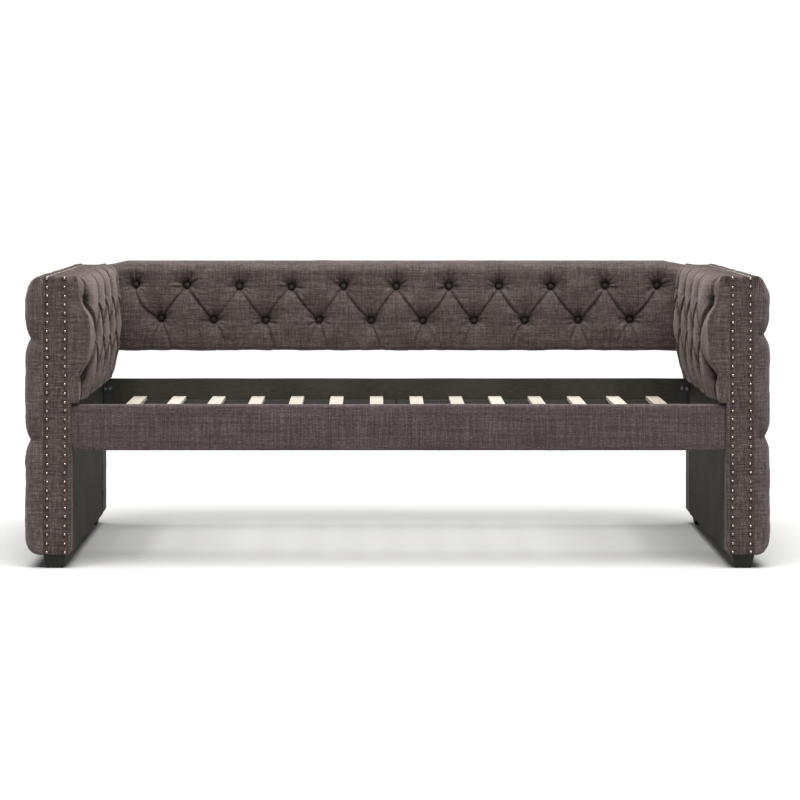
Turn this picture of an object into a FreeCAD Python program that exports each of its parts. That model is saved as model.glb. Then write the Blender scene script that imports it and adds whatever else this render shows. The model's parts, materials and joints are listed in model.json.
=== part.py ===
import FreeCAD, Part
import os
import Sketcher

# Button-tufted daybed with two slab arms, a tufted back panel hung between
# them, upholstered side rails and a slatted base.  Millimetres.
# Frame: origin at the centre of the footprint on the floor, +X to the right
# along the bed, +Y to the rear, +Z up.

V = FreeCAD.Vector
doc = FreeCAD.newDocument("Daybed")

# ---------------------------------------------------------------- dimensions
SIZES = [
    # arms (distances in X are from the centre plane)
    ("arm_inner_x", 981.0), ("inner_board_t", 6.0), ("post_wide", 80.0),
    ("outer_board_t", 5.0), ("outer_pad_t", 44.0), ("inner_pad_t", 58.0),
    ("arm_half_depth", 545.0), ("arm_bottom_z", 41.0), ("arm_top_z", 877.5),
    ("trim_t", 5.0), ("band_t", 2.0), ("trim_inner_x", 992.5), ("trim_wide", 72.2),
    ("post_deep", 45.0), ("top_rail_tall", 45.0), ("bottom_rail_tall", 45.0),
    ("mid_rail_thick", 45.0), ("mid_rail_z", 361.0), ("mid_rail_tall", 120.0),
    ("dust_t", 2.0), ("inner_pad_z", 495.0), ("inner_pad_rear_y", 450.0),
    ("wrap_front_y", 495.0), ("wrap_rear_y", 440.0),
    ("skin_t", 1.5), ("pad_round", 22.0), ("outer_round", 30.0),
    ("glue_block", 40.0),
    # feet
    ("foot_top", 67.0), ("foot_base", 50.0), ("foot_tall", 41.0),
    ("foot_taper", 11.7117), ("foot_x", 1032.5), ("foot_y", 503.5),
    ("foot_bolt_rad", 4.0), ("foot_bolt_long", 60.0), ("foot_bolt_low", 18.0),
    # back panel
    ("back_half_x", 980.0), ("back_low_z", 586.0), ("back_high_z", 888.0),
    ("back_face_y", 455.0), ("back_pad_t", 48.0), ("back_board_t", 6.0),
    ("back_frame_t", 30.0), ("back_rear_t", 4.0), ("back_wrap_t", 3.0),
    ("back_member", 45.0), ("back_mid_stile_x", 310.0),
    ("back_bolt_low_z", 660.0), ("back_bolt_high_z", 812.0),
    ("back_end_run", 75.0), ("back_end_slope", 0.2),
    # side rails
    ("rail_half_x", 981.0), ("rail_low_z", 353.0), ("rail_high_z", 489.0),
    ("rail_inner_y", 498.0), ("rail_lining_t", 2.0), ("rail_board_t", 22.0),
    ("rail_foam_t", 12.0), ("rail_skin_t", 2.0),
    # slatted base
    ("cleat_thick", 25.0), ("cleat_low_z", 395.0), ("cleat_near_x", 3.0),
    ("cleat_far_x", 885.0), ("slat_wide", 44.0), ("slat_thick", 12.0),
    ("slat_half_long", 494.0), ("slat_pitch", 132.5), ("slat_ease", 1.5),
    ("screw_rad", 2.0), ("screw_head_rad", 4.0), ("screw_long", 30.0),
    ("screw_y", 485.5),
    # corner brackets and their bolts
    ("bracket_t", 3.0), ("bracket_rail_leg", 32.0), ("bracket_arm_leg", 60.0),
    ("bracket_low_z", 361.0), ("bracket_tall", 120.0),
    ("bolt_low_z", 385.0), ("bolt_high_z", 459.0), ("bolt_rad", 4.0),
    ("bolt_clear_rad", 4.5), ("bolt_head_rad", 7.0), ("bolt_head_tall", 5.0),
    ("rail_bolt_x", 962.0), ("rail_bolt_grip", 25.0),
    ("arm_bolt_y", 462.0), ("arm_bolt_grip", 42.0),
    # buttons, the wells that they pull into the pads, and the nailheads
    ("button_rad", 12.0), ("button_tall", 8.0), ("well_rad", 13.0),
    ("well_mouth_rad", 30.0), ("back_well", 30.0), ("inner_well", 36.0),
    ("outer_well", 24.0),
    ("back_pitch", 175.0), ("back_row_high", 804.0), ("back_row_low", 690.0),
    ("arm_pitch", 208.0), ("arm_row_one", 800.0), ("arm_row_two", 688.0),
    ("arm_row_three", 574.0), ("arm_first_y", -435.0), ("arm_second_y", -331.0),
    ("out_row_one", 689.0), ("out_row_two", 536.0), ("out_row_three", 383.0),
    ("out_row_four", 230.0), ("out_first_y", -416.0), ("out_second_y", -312.0),
    ("nail_rad", 5.0), ("nail_tall", 3.0), ("nail_pitch", 26.5),
    ("nail_inner_x", 1000.5), ("nail_outer_x", 1054.0), ("nail_low_z", 48.0),
    ("nail_top_y", -527.0),
]

sheet = doc.addObject("Spreadsheet::Sheet", "P")
for row, (alias, value) in enumerate(SIZES, 1):
    sheet.set("A%d" % row, alias)
    sheet.set("B%d" % row, str(value))
    sheet.setAlias("B%d" % row, alias)
doc.recompute()


class Q:
    """A size as a number together with the sheet expression that gives it."""

    def __init__(self, n, s=None):
        self.n = float(n)
        self.s = s if s is not None else repr(float(n))

    @staticmethod
    def of(v):
        return v if isinstance(v, Q) else Q(v)

    def __add__(self, o):
        o = Q.of(o)
        return Q(self.n + o.n, "(%s + %s)" % (self.s, o.s))

    def __radd__(self, o):
        return Q.of(o) + self

    def __sub__(self, o):
        o = Q.of(o)
        return Q(self.n - o.n, "(%s - %s)" % (self.s, o.s))

    def __rsub__(self, o):
        return Q.of(o) - self

    def __mul__(self, o):
        o = Q.of(o)
        return Q(self.n * o.n, "(%s * %s)" % (self.s, o.s))

    def __rmul__(self, o):
        return Q.of(o) * self

    def __neg__(self):
        return Q(-self.n, "(0 - %s)" % self.s)


class Sheet:
    pass


P = Sheet()
for alias, value in SIZES:
    setattr(P, alias, Q(value, "P." + alias))

NODES = {}


def node(obj, label):
    """Marks an object as a sub-part of the daybed."""
    obj.Label = label
    NODES[label] = obj
    return obj


def place(obj, pos, rot=None):
    if rot is not None:
        obj.Placement = FreeCAD.Placement(V(*[Q.of(p).n for p in pos]), rot)
    else:
        obj.Placement = FreeCAD.Placement(V(*[Q.of(p).n for p in pos]), FreeCAD.Rotation())
    for axis, p in zip("xyz", pos):
        obj.setExpression(".Placement.Base." + axis, Q.of(p).s)
    return obj


def box(name, x0, x1, y0, y1, z0, z1):
    """A block between two corners, every size read from the sheet."""
    b = doc.addObject("Part::Box", name)
    for prop, a, c in (("Length", x0, x1), ("Width", y0, y1), ("Height", z0, z1)):
        size = Q.of(c) - Q.of(a)
        setattr(b, prop, size.n)
        b.setExpression(prop, size.s)
    return place(b, (x0, y0, z0))


def cylinder(name, rad, tall, pos, rot=None):
    c = doc.addObject("Part::Cylinder", name)
    c.Radius, c.Height = Q.of(rad).n, Q.of(tall).n
    c.setExpression("Radius", Q.of(rad).s)
    c.setExpression("Height", Q.of(tall).s)
    return place(c, pos, rot)


def hexagon(name, rad, tall, pos, rot=None):
    c = doc.addObject("Part::Prism", name)
    c.Polygon = 6
    c.Circumradius, c.Height = Q.of(rad).n, Q.of(tall).n
    c.setExpression("Circumradius", Q.of(rad).s)
    c.setExpression("Height", Q.of(tall).s)
    return place(c, pos, rot)


def cut(name, base, *tools):
    for i, tool in enumerate(tools):
        c = doc.addObject("Part::Cut", name if i == len(tools) - 1 else "%s_step%d" % (name, i))
        c.Base, c.Tool = base, tool
        base = c
    return base


def fuse(name, *shapes):
    f = doc.addObject("Part::MultiFuse", name)
    f.Shapes = list(shapes)
    return f


def group(name, *links):
    g = doc.addObject("Part::Compound", name)
    g.Links = list(links)
    return g


def mirror(obj, name, normal):
    m = doc.addObject("Part::Mirroring", name)
    m.Source = obj
    m.Base = V(0, 0, 0)
    m.Normal = V(*normal)
    return m


def four(name, *objs):
    """The same pieces at all four corners of the bed."""
    out = []
    for i, o in enumerate(objs):
        mx = mirror(o, "%s_%d_mx" % (name, i), (1, 0, 0))
        my = mirror(o, "%s_%d_my" % (name, i), (0, 1, 0))
        mxy = mirror(mx, "%s_%d_mxy" % (name, i), (0, 1, 0))
        out += [o, mx, my, mxy]
    return group(name, *out)


def both(name, obj):
    """A piece and its mirror image on the other arm, as one node."""
    return group(name, obj, mirror(obj, name + "_mx", (1, 0, 0)))


def plane(body, role):
    for f in body.Origin.OriginFeatures:
        if f.Role == role:
            return f


def polygon(body, role, name, pts, offset=None):
    """A closed outline on one of the body's planes, each corner dimensioned
    from the sketch origin."""
    sk = body.newObject("Sketcher::SketchObject", name)
    sk.AttachmentSupport = [(plane(body, role), "")]
    sk.MapMode = "FlatFace"
    if offset:
        for axis, o in zip("xyz", offset):
            sk.setExpression(".AttachmentOffset.Base." + axis, Q.of(o).s)
    pts = [(Q.of(u), Q.of(w)) for u, w in pts]
    n = len(pts)
    for i in range(n):
        a, b = pts[i], pts[(i + 1) % n]
        sk.addGeometry(Part.LineSegment(V(a[0].n, a[1].n, 0), V(b[0].n, b[1].n, 0)), False)
    for i in range(n):
        sk.addConstraint(Sketcher.Constraint("Coincident", i, 2, (i + 1) % n, 1))
    for i, (u, w) in enumerate(pts):
        if abs(u.n) < 1e-9:
            sk.addConstraint(Sketcher.Constraint("PointOnObject", i, 1, -2))
        else:
            c = sk.addConstraint(Sketcher.Constraint("DistanceX", -1, 1, i, 1, u.n))
            sk.renameConstraint(c, "u%d" % i)
            sk.setExpression("Constraints.u%d" % i, u.s)
        if abs(w.n) < 1e-9:
            sk.addConstraint(Sketcher.Constraint("PointOnObject", i, 1, -1))
        else:
            c = sk.addConstraint(Sketcher.Constraint("DistanceY", -1, 1, i, 1, w.n))
            sk.renameConstraint(c, "w%d" % i)
            sk.setExpression("Constraints.w%d" % i, w.s)
    return sk


def pad(body, sk, name, length, reverse=False, taper=None):
    p = body.newObject("PartDesign::Pad", name)
    p.Profile = sk
    p.Reversed = reverse
    p.setExpression("Length", Q.of(length).s)
    if taper is not None:
        p.setExpression("TaperAngle", Q.of(taper).s)
    return p


def rounded(body, base, name, rad, pick):
    """Rounds the edges of the last feature whose ends satisfy pick."""
    doc.recompute()
    names = []
    for i, e in enumerate(base.Shape.Edges, 1):
        if all(pick(v.Point) for v in e.Vertexes):
            names.append("Edge%d" % i)
    f = body.newObject("PartDesign::Fillet", name)
    f.Base = (base, names)
    f.setExpression("Radius", Q.of(rad).s)
    doc.recompute()
    return f


def rows(name, outline, layout, pos, rot):
    """A turned piece repeated in rows.  outline is (radius, height) in the
    piece's own frame, layout is (first, across, count, pitch) per row."""
    body = doc.addObject("PartDesign::Body", name)
    for i, (first, across, count, pitch) in enumerate(layout):
        sk = polygon(body, "XZ_Plane", "%s_outline%d" % (name, i), outline,
                     offset=(first, 0, -Q.of(across)))
        rev = body.newObject("PartDesign::Revolution", "%s_turn%d" % (name, i))
        rev.Profile = sk
        rev.ReferenceAxis = (sk, ["V_Axis"])
        rev.Angle = 360
        doc.recompute()
        pat = body.newObject("PartDesign::LinearPattern", "%s_row%d" % (name, i))
        pat.Originals = [rev]
        pat.Direction = (plane(body, "X_Axis"), [""])
        pat.setExpression("Length", (Q.of(pitch) * (count - 1)).s)
        pat.Occurrences = count
        body.Tip = pat
        doc.recompute()
    return place(body, pos, rot)


# local X, Y, Z of a row of buttons onto the daybed's axes
FACE_FRONT = FreeCAD.Rotation(V(1, 0, 0), V(0, 0, 1), V(0, -1, 0), "ZYX")
FACE_IN = FreeCAD.Rotation(V(0, -1, 0), V(0, 0, 1), V(-1, 0, 0), "ZYX")
FACE_OUT = FreeCAD.Rotation(V(0, 1, 0), V(0, 0, 1), V(1, 0, 0), "ZYX")


def button_outline(depth):
    r, t = P.button_rad, P.button_tall
    return [(0, -depth), (r, -depth), (r, t * 0.35 - depth), (r * 0.72, t * 0.85 - depth), (0, t - depth)]


def well_outline(depth, grow):
    return [(0, -depth - grow), (P.well_rad + grow, -depth - grow), (P.well_mouth_rad + grow, 2.0), (0, 2.0)]


# ---------------------------------------------------------------- right arm
ix = P.arm_inner_x
post0 = ix + P.inner_board_t
post1 = post0 + P.post_wide
ob1 = post1 + P.outer_board_t
out_x = ob1 + P.outer_pad_t
half = P.arm_half_depth
core = half - P.trim_t                      # frame stands one trim thickness back
frame_low = P.arm_bottom_z + P.dust_t
frame_high = P.arm_top_z - P.trim_t
post_in = core - P.post_deep

front_post = box("front_post_form", post0, post1, -core, -post_in, frame_low, frame_high)
rear_post = box("rear_post_form", post0, post1, post_in, core, frame_low, frame_high)
top_rail = box("top_rail_form", post0, post1, -post_in, post_in, frame_high - P.top_rail_tall, frame_high)
mid_rail = box("mid_rail_form", post0, post0 + P.mid_rail_thick, -post_in, post_in,
               P.mid_rail_z, P.mid_rail_z + P.mid_rail_tall)
bottom_rail = box("bottom_rail_form", post0, post1, -post_in, post_in, frame_low, frame_low + P.bottom_rail_tall)
block_x = P.foot_x - P.glue_block * 0.5
glue_block = box("glue_block_form", block_x, block_x + P.glue_block, post_in - P.glue_block, post_in,
                 frame_low + P.bottom_rail_tall, frame_low + P.bottom_rail_tall + P.glue_block)
inner_board = box("inner_board_form", ix, post0, -core, P.wrap_rear_y, P.inner_pad_z, frame_high)
outer_board = box("outer_board_form", post1, ob1, -core, core, frame_low, frame_high)
lower_panel = box("lower_panel_form", ix, post0, -P.wrap_front_y, P.wrap_rear_y, P.arm_bottom_z, P.inner_pad_z)
dust = box("dust_form", post0, ob1, -core, core, P.arm_bottom_z, frame_low)

# trim band: one strip up the front, over the top and down the rear
t0, t1 = P.trim_inner_x, P.trim_inner_x + P.trim_wide

# edge wraps: fabric turned from the front and rear faces onto the inner side
wrap_front = fuse("wrap_front_form",
                  box("wrap_front_side", ix, post0, -core, -P.wrap_front_y, P.arm_bottom_z, P.inner_pad_z),
                  box("wrap_front_face", ix, t0, -half, -core, P.arm_bottom_z, P.inner_pad_z))
wrap_rear = fuse("wrap_rear_form",
                 box("wrap_rear_side", ix, post0, P.wrap_rear_y, core, P.arm_bottom_z, frame_high),
                 box("wrap_rear_face", ix, t0, core, half, P.arm_bottom_z, P.arm_top_z),
                 box("wrap_rear_top", ix, t0, P.inner_pad_rear_y, core, frame_high, P.arm_top_z))
wrap = group("wrap_form", wrap_front, wrap_rear)
trim = fuse("trim_form",
            box("trim_front", t0, t1, -core - P.band_t, -core, P.arm_bottom_z, frame_high + P.band_t),
            box("trim_top", t0, t1, -core, core, frame_high, frame_high + P.band_t),
            box("trim_rear", t0, t1, core, core + P.band_t, P.arm_bottom_z, frame_high + P.band_t))

# nailheads: two columns up the front and two lines back along the top
dome = [(0, 0), (P.nail_rad, 0), (P.nail_rad * 0.86, P.nail_tall * 0.55), (P.nail_rad * 0.45, P.nail_tall * 0.92), (0, P.nail_tall)]
nails_front = rows("nails_front", dome, [(P.nail_low_z, -P.nail_inner_x, 32, P.nail_pitch),
                                         (P.nail_low_z, -P.nail_outer_x, 32, P.nail_pitch)],
                   (0, -core - P.band_t, 0), FreeCAD.Rotation(V(0, 0, 1), V(-1, 0, 0), V(0, -1, 0), "ZYX"))
nails_top = rows("nails_top", dome, [(P.nail_top_y, -P.nail_inner_x, 40, P.nail_pitch),
                                     (P.nail_top_y, -P.nail_outer_x, 40, P.nail_pitch)],
                 (0, 0, frame_high + P.band_t), FreeCAD.Rotation(V(0, 1, 0), V(-1, 0, 0), V(0, 0, 1), "ZYX"))


def slab_pad(name, x0, x1, y0, y1, z0, z1, rad, face):
    """A pad on the YZ plane, thickness in X, with the edges of its show face
    rounded; face is the X of that side."""
    body = doc.addObject("PartDesign::Body", name)
    sk = polygon(body, "YZ_Plane", name + "_outline", [(y0, z0), (y1, z0), (y1, z1), (y0, z1)],
                 offset=(0, 0, x0))
    p = pad(body, sk, name + "_pad", Q.of(x1) - Q.of(x0))
    fx = Q.of(face).n
    rounded(body, p, name + "_round", rad, lambda pt: abs(pt.x - fx) < 0.01)
    return body


# inner pad: foam, and a fabric skin over it with lips beside the trim band
face_x = ix - P.inner_pad_t
sk_t = P.skin_t
# button columns run from the front edge back to the back panel
arm_rows_local = [(-(P.arm_first_y + P.arm_pitch * 4), P.arm_row_one, 5, P.arm_pitch),
                  (-(P.arm_second_y + P.arm_pitch * 3), P.arm_row_two, 4, P.arm_pitch),
                  (-(P.arm_first_y + P.arm_pitch * 4), P.arm_row_three, 5, P.arm_pitch)]
inner_foam_block = slab_pad("inner_foam_block", face_x + sk_t, ix, -half + sk_t, P.inner_pad_rear_y - sk_t,
                            P.inner_pad_z + sk_t, P.arm_top_z - sk_t, P.pad_round - sk_t, face_x + sk_t)
inner_skin_block = slab_pad("inner_skin_block", face_x, ix, -half, P.inner_pad_rear_y,
                            P.inner_pad_z, P.arm_top_z, P.pad_round, face_x)
inner_skin_form = fuse("inner_skin_form", inner_skin_block,
                       box("inner_lip_front", ix, t0, -half, -core, P.inner_pad_z, P.arm_top_z),
                       box("inner_lip_top", ix, t0, -core, P.inner_pad_rear_y, frame_high, P.arm_top_z))
inner_wells = rows("inner_wells", well_outline(P.inner_well, sk_t), arm_rows_local, (face_x, 0, 0), FACE_IN)
inner_skin_wells = rows("inner_skin_wells", well_outline(P.inner_well, 0), arm_rows_local, (face_x, 0, 0), FACE_IN)
inner_foam = cut("inner_foam_form", inner_foam_block, inner_wells)
inner_cover = cut("inner_cover_form", inner_skin_form, inner_foam, inner_skin_wells)
inner_buttons = rows("inner_buttons_form", button_outline(P.inner_well), arm_rows_local, (face_x, 0, 0), FACE_IN)

# outer pad
out_rows = [(P.out_first_y, P.out_row_one, 5, P.arm_pitch), (P.out_second_y, P.out_row_two, 4, P.arm_pitch),
            (P.out_first_y, P.out_row_three, 5, P.arm_pitch), (P.out_second_y, P.out_row_four, 4, P.arm_pitch)]
outer_foam_block = slab_pad("outer_foam_block", ob1, out_x - sk_t, -half + sk_t, half - sk_t,
                            P.arm_bottom_z + sk_t, P.arm_top_z - sk_t, P.outer_round - sk_t, out_x - sk_t)
outer_skin_block = slab_pad("outer_skin_block", ob1, out_x, -half, half, P.arm_bottom_z, P.arm_top_z,
                            P.outer_round, out_x)
outer_skin_form = fuse("outer_skin_form", outer_skin_block,
                       box("outer_lip_front", t1, ob1, -half, -core, P.arm_bottom_z, P.arm_top_z),
                       box("outer_lip_top", t1, ob1, -core, core, frame_high, P.arm_top_z),
                       box("outer_lip_rear", t1, ob1, core, half, P.arm_bottom_z, P.arm_top_z))
outer_wells = rows("outer_wells", well_outline(P.outer_well, sk_t), out_rows, (out_x, 0, 0), FACE_OUT)
outer_skin_wells = rows("outer_skin_wells", well_outline(P.outer_well, 0), out_rows, (out_x, 0, 0), FACE_OUT)
outer_foam = cut("outer_foam_form", outer_foam_block, outer_wells)
outer_cover = cut("outer_cover_form", outer_skin_form, outer_foam, outer_skin_wells)
outer_buttons = rows("outer_buttons_form", button_outline(P.outer_well), out_rows, (out_x, 0, 0), FACE_OUT)

# ---------------------------------------------------------------- fasteners
TO_RIGHT = FreeCAD.Rotation(V(0, 1, 0), 90)      # local Z onto +X
TO_REAR = FreeCAD.Rotation(V(1, 0, 0), -90)      # local Z onto +Y

# bracket bolts: two through the rail leg, two through the arm leg
rail_face = P.rail_inner_y - P.bracket_t
arm_face = ix - P.bracket_t
corner_bolts = []
for tag, z in (("low", P.bolt_low_z), ("high", P.bolt_high_z)):
    corner_bolts.append(fuse("rail_bolt_" + tag,
                             hexagon("rail_head_" + tag, P.bolt_head_rad, P.bolt_head_tall,
                                     (P.rail_bolt_x, rail_face - P.bolt_head_tall, z), TO_REAR),
                             cylinder("rail_shank_" + tag, P.bolt_rad, P.rail_bolt_grip,
                                      (P.rail_bolt_x, rail_face, z), TO_REAR)))
    corner_bolts.append(fuse("arm_bolt_" + tag,
                             hexagon("arm_head_" + tag, P.bolt_head_rad, P.bolt_head_tall,
                                     (arm_face - P.bolt_head_tall, P.arm_bolt_y, z), TO_RIGHT),
                             cylinder("arm_shank_" + tag, P.bolt_rad, P.arm_bolt_grip,
                                      (arm_face, P.arm_bolt_y, z), TO_RIGHT)))
rail_bolts = node(four("rail_bolts_set", *corner_bolts), "rail_bolts")

# back panel bolts: from inside each end stile into the rear post
back_frame_y = P.back_face_y + P.back_pad_t + P.back_board_t
bolt_y = back_frame_y + P.back_frame_t * 0.5
stile_in = P.back_half_x - P.back_wrap_t - P.back_member
back_bolt_set = []
for tag, z in (("low", P.back_bolt_low_z), ("high", P.back_bolt_high_z)):
    b = fuse("back_bolt_" + tag,
             hexagon("back_head_" + tag, P.bolt_head_rad, P.bolt_head_tall,
                     (stile_in - P.bolt_head_tall, bolt_y, z), TO_RIGHT),
             cylinder("back_shank_" + tag, P.bolt_rad, P.back_member + 50.0, (stile_in, bolt_y, z), TO_RIGHT))
    back_bolt_set += [b, mirror(b, "back_bolt_mx_" + tag, (1, 0, 0))]
back_bolts = node(group("back_bolts_set", *back_bolt_set), "back_bolts")

# foot bolts: hanger bolts joining each foot to the post above it
foot_bolt = cylinder("foot_bolt_form", P.foot_bolt_rad, P.foot_bolt_long, (P.foot_x, P.foot_y, P.foot_bolt_low))
foot_bolts = node(four("foot_bolts_set", foot_bolt), "foot_bolts")

# ---------------------------------------------------------------- arm nodes
pairs = [
    ("arm_front_post", cut("front_post_cut", front_post, foot_bolts)),
    ("arm_rear_post", cut("rear_post_cut", rear_post, foot_bolts, back_bolts)),
    ("arm_top_rail", top_rail),
    ("arm_mid_rail", cut("mid_rail_cut", mid_rail, rail_bolts)),
    ("arm_bottom_rail", bottom_rail),
    ("arm_tufting_board", inner_board),
    ("arm_outer_board", outer_board),
    ("arm_inner_foam", inner_foam),
    ("arm_inner_cover", inner_cover),
    ("arm_outer_foam", outer_foam),
    ("arm_outer_cover", outer_cover),
    ("arm_trim_band", trim),
    ("arm_nailheads", group("nailheads_set", nails_front, nails_top)),
    ("arm_lower_panel", cut("lower_panel_cut", lower_panel, rail_bolts)),
    ("arm_inner_buttons", inner_buttons),
    ("arm_outer_buttons", outer_buttons),
]
for label, obj in pairs:
    node(obj, "right_" + label)
    node(mirror(obj, "left_" + label, (1, 0, 0)), "left_" + label)
node(both("wrap_set", cut("wrap_cut", wrap, back_bolts, rail_bolts)), "arm_edge_wraps")
node(both("dust_set", cut("dust_cut", dust, foot_bolts)), "arm_dust_covers")
node(four("glue_blocks_set", glue_block), "corner_blocks")

# ---------------------------------------------------------------- feet
for label, sign in (("front_feet", -1.0), ("rear_feet", 1.0)):
    body = doc.addObject("PartDesign::Body", label + "_form")
    hb = P.foot_base * 0.5
    sk = polygon(body, "XY_Plane", label + "_outline", [(-hb, -hb), (hb, -hb), (hb, hb), (-hb, hb)])
    p = pad(body, sk, label + "_pad", P.foot_tall, taper=P.foot_taper)
    doc.recompute()
    pat = body.newObject("PartDesign::LinearPattern", label + "_pair")
    pat.Originals = [p]
    pat.Direction = (plane(body, "X_Axis"), [""])
    pat.setExpression("Length", (P.foot_x * 2).s)
    pat.Occurrences = 2
    body.Tip = pat
    place(body, (-P.foot_x, P.foot_y * sign, 0))
    node(cut(label + "_cut", body, foot_bolts), label)

# ---------------------------------------------------------------- back panel
bx = P.back_half_x
cx = bx - P.back_wrap_t
y0 = P.back_face_y
y1 = y0 + P.back_pad_t
y2 = y1 + P.back_board_t
y3 = y2 + P.back_frame_t
zl, zh = P.back_low_z, P.back_high_z
cl, ch = zl + P.back_wrap_t, zh - P.back_wrap_t


def front_pad(name, x, ya, yb, za, zb, rad):
    """A pad on the XZ plane, thickness in Y, its front edges rounded."""
    body = doc.addObject("PartDesign::Body", name)
    run = P.back_end_run
    drop = run * P.back_end_slope
    sk = polygon(body, "XZ_Plane", name + "_outline",
                 [(-x, za), (x, za), (x, zb - drop), (x - run, zb), (run - x, zb), (-x, zb - drop)],
                 offset=(0, 0, -Q.of(yb)))
    p = pad(body, sk, name + "_pad", Q.of(yb) - Q.of(ya))
    fy = Q.of(ya).n
    rounded(body, p, name + "_round", rad, lambda pt: abs(pt.y - fy) < 0.01)
    return body


back_rows = [(P.back_pitch * -5.0, P.back_row_high, 11, P.back_pitch),
             (P.back_pitch * -4.5, P.back_row_low, 10, P.back_pitch)]
back_foam_block = front_pad("back_foam_block", bx - sk_t, y0 + sk_t, y1, zl + sk_t, zh - sk_t, P.pad_round - sk_t)
back_skin_block = front_pad("back_skin_block", bx, y0, y3, zl, zh, P.pad_round)

# the top edge falls away over the last stretch at each end
ramp_body = doc.addObject("PartDesign::Body", "end_ramp")
ramp_drop = P.back_end_run * P.back_end_slope
ramp_sk = polygon(ramp_body, "XZ_Plane", "end_ramp_outline",
                  [(cx - P.back_end_run, ch), (cx + 20.0, ch - ramp_drop - P.back_end_slope * 20.0),
                   (cx + 20.0, ch + 20.0), (cx - P.back_end_run, ch + 20.0)],
                  offset=(0, 0, -(y3 + 20.0)))
pad(ramp_body, ramp_sk, "end_ramp_pad", y3 - y1 + 40.0)
doc.recompute()
ramp = ramp_body
ramp_mx = mirror(ramp, "end_ramp_mx", (1, 0, 0))


def sloped(name, shape):
    return cut(name, shape, ramp, ramp_mx)


back_core = sloped("back_core_sloped", box("back_core", -cx, cx, y1, y3, cl, ch))
back_wells = rows("back_wells", well_outline(P.back_well, sk_t), back_rows, (0, y0, 0), FACE_FRONT)
back_skin_wells = rows("back_skin_wells", well_outline(P.back_well, 0), back_rows, (0, y0, 0), FACE_FRONT)
back_foam = node(cut("back_foam_form", back_foam_block, back_wells), "back_foam")
node(cut("back_cover_form", back_skin_block, back_foam, back_core, back_skin_wells, back_bolts), "back_cover")
node(rows("back_buttons_form", button_outline(P.back_well), back_rows, (0, y0, 0), FACE_FRONT), "back_buttons")
node(sloped("tufting_sloped", box("back_tufting_form", -cx, cx, y1, y2, cl, ch)), "back_tufting_board")
node(sloped("top_rail_sloped", box("back_top_form", -cx, cx, y2, y3, ch - P.back_member, ch)), "back_top_rail")
node(box("back_bottom_form", -cx, cx, y2, y3, cl, cl + P.back_member), "back_bottom_rail")
end_stile = box("end_stile", stile_in, cx, y2, y3, cl + P.back_member, ch - P.back_member)
mid_stile = box("mid_stile", P.back_mid_stile_x, P.back_mid_stile_x + P.back_member, y2, y3,
                cl + P.back_member, ch - P.back_member)
end_cut = cut("end_stile_cut", end_stile, back_bolts)
node(group("stiles_set", end_cut, mirror(end_cut, "end_stile_mx", (1, 0, 0)),
           mid_stile, mirror(mid_stile, "mid_stile_mx", (1, 0, 0))), "back_stiles")
node(sloped("rear_sloped", box("back_rear_form", -cx, cx, y3, y3 + P.back_rear_t, cl, ch)), "back_rear_panel")

# ---------------------------------------------------------------- side rails
rx = P.rail_half_x
ry0 = P.rail_inner_y
ry1 = ry0 + P.rail_lining_t
ry2 = ry1 + P.rail_board_t
ry3 = ry2 + P.rail_foam_t
ry4 = ry3 + P.rail_skin_t
rl, rh = P.rail_low_z, P.rail_high_z
rs = P.rail_skin_t
rail_board = cut("rail_board_cut",
                 box("rail_board_form", rs - rx, rx - rs, ry1, ry2, rl + rs, rh - rs), rail_bolts)
rail_foam = box("rail_foam_form", rs - rx, rx - rs, ry2, ry3, rl + rs, rh - rs)
rail_skin = cut("rail_skin_cut", box("rail_skin_form", -rx, rx, ry1, ry4, rl, rh),
                box("rail_core_form", rs - rx, rx - rs, ry1, ry3, rl + rs, rh - rs))
rail_lining = cut("rail_lining_cut", box("rail_lining_form", -rx, rx, ry0, ry1, rl, rh), rail_bolts)
for label, obj in (("rail_board", rail_board), ("rail_foam", rail_foam), ("rail_cover", rail_skin)):
    node(obj, "back_" + label)
    node(mirror(obj, "front_" + label, (0, 1, 0)), "front_" + label)
node(group("lining_set", rail_lining, mirror(rail_lining, "lining_my", (0, 1, 0))), "rail_inner_linings")

# slats with eased edges, laid across the cleats
cleat_high = P.cleat_low_z + P.cleat_thick
slat_body = doc.addObject("PartDesign::Body", "slats_form")
hw = P.slat_wide * 0.5
sk = polygon(slat_body, "XZ_Plane", "slat_outline",
             [(-hw, 0), (hw, 0), (hw, P.slat_thick), (-hw, P.slat_thick)], offset=(0, 0, -P.slat_half_long))
slat_pad = pad(slat_body, sk, "slat_pad", P.slat_half_long * 2)
slat_round = rounded(slat_body, slat_pad, "slat_round", P.slat_ease,
                     lambda pt: abs(pt.z - P.slat_thick.n) < 0.01)
slat_row = slat_body.newObject("PartDesign::LinearPattern", "slat_row")
slat_row.Originals = [slat_pad, slat_round]
slat_row.Direction = (plane(slat_body, "X_Axis"), [""])
slat_row.setExpression("Length", (P.slat_pitch * 13).s)
slat_row.Occurrences = 14
slat_body.Tip = slat_row
place(slat_body, (P.slat_pitch * -6.5, 0, cleat_high))

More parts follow.
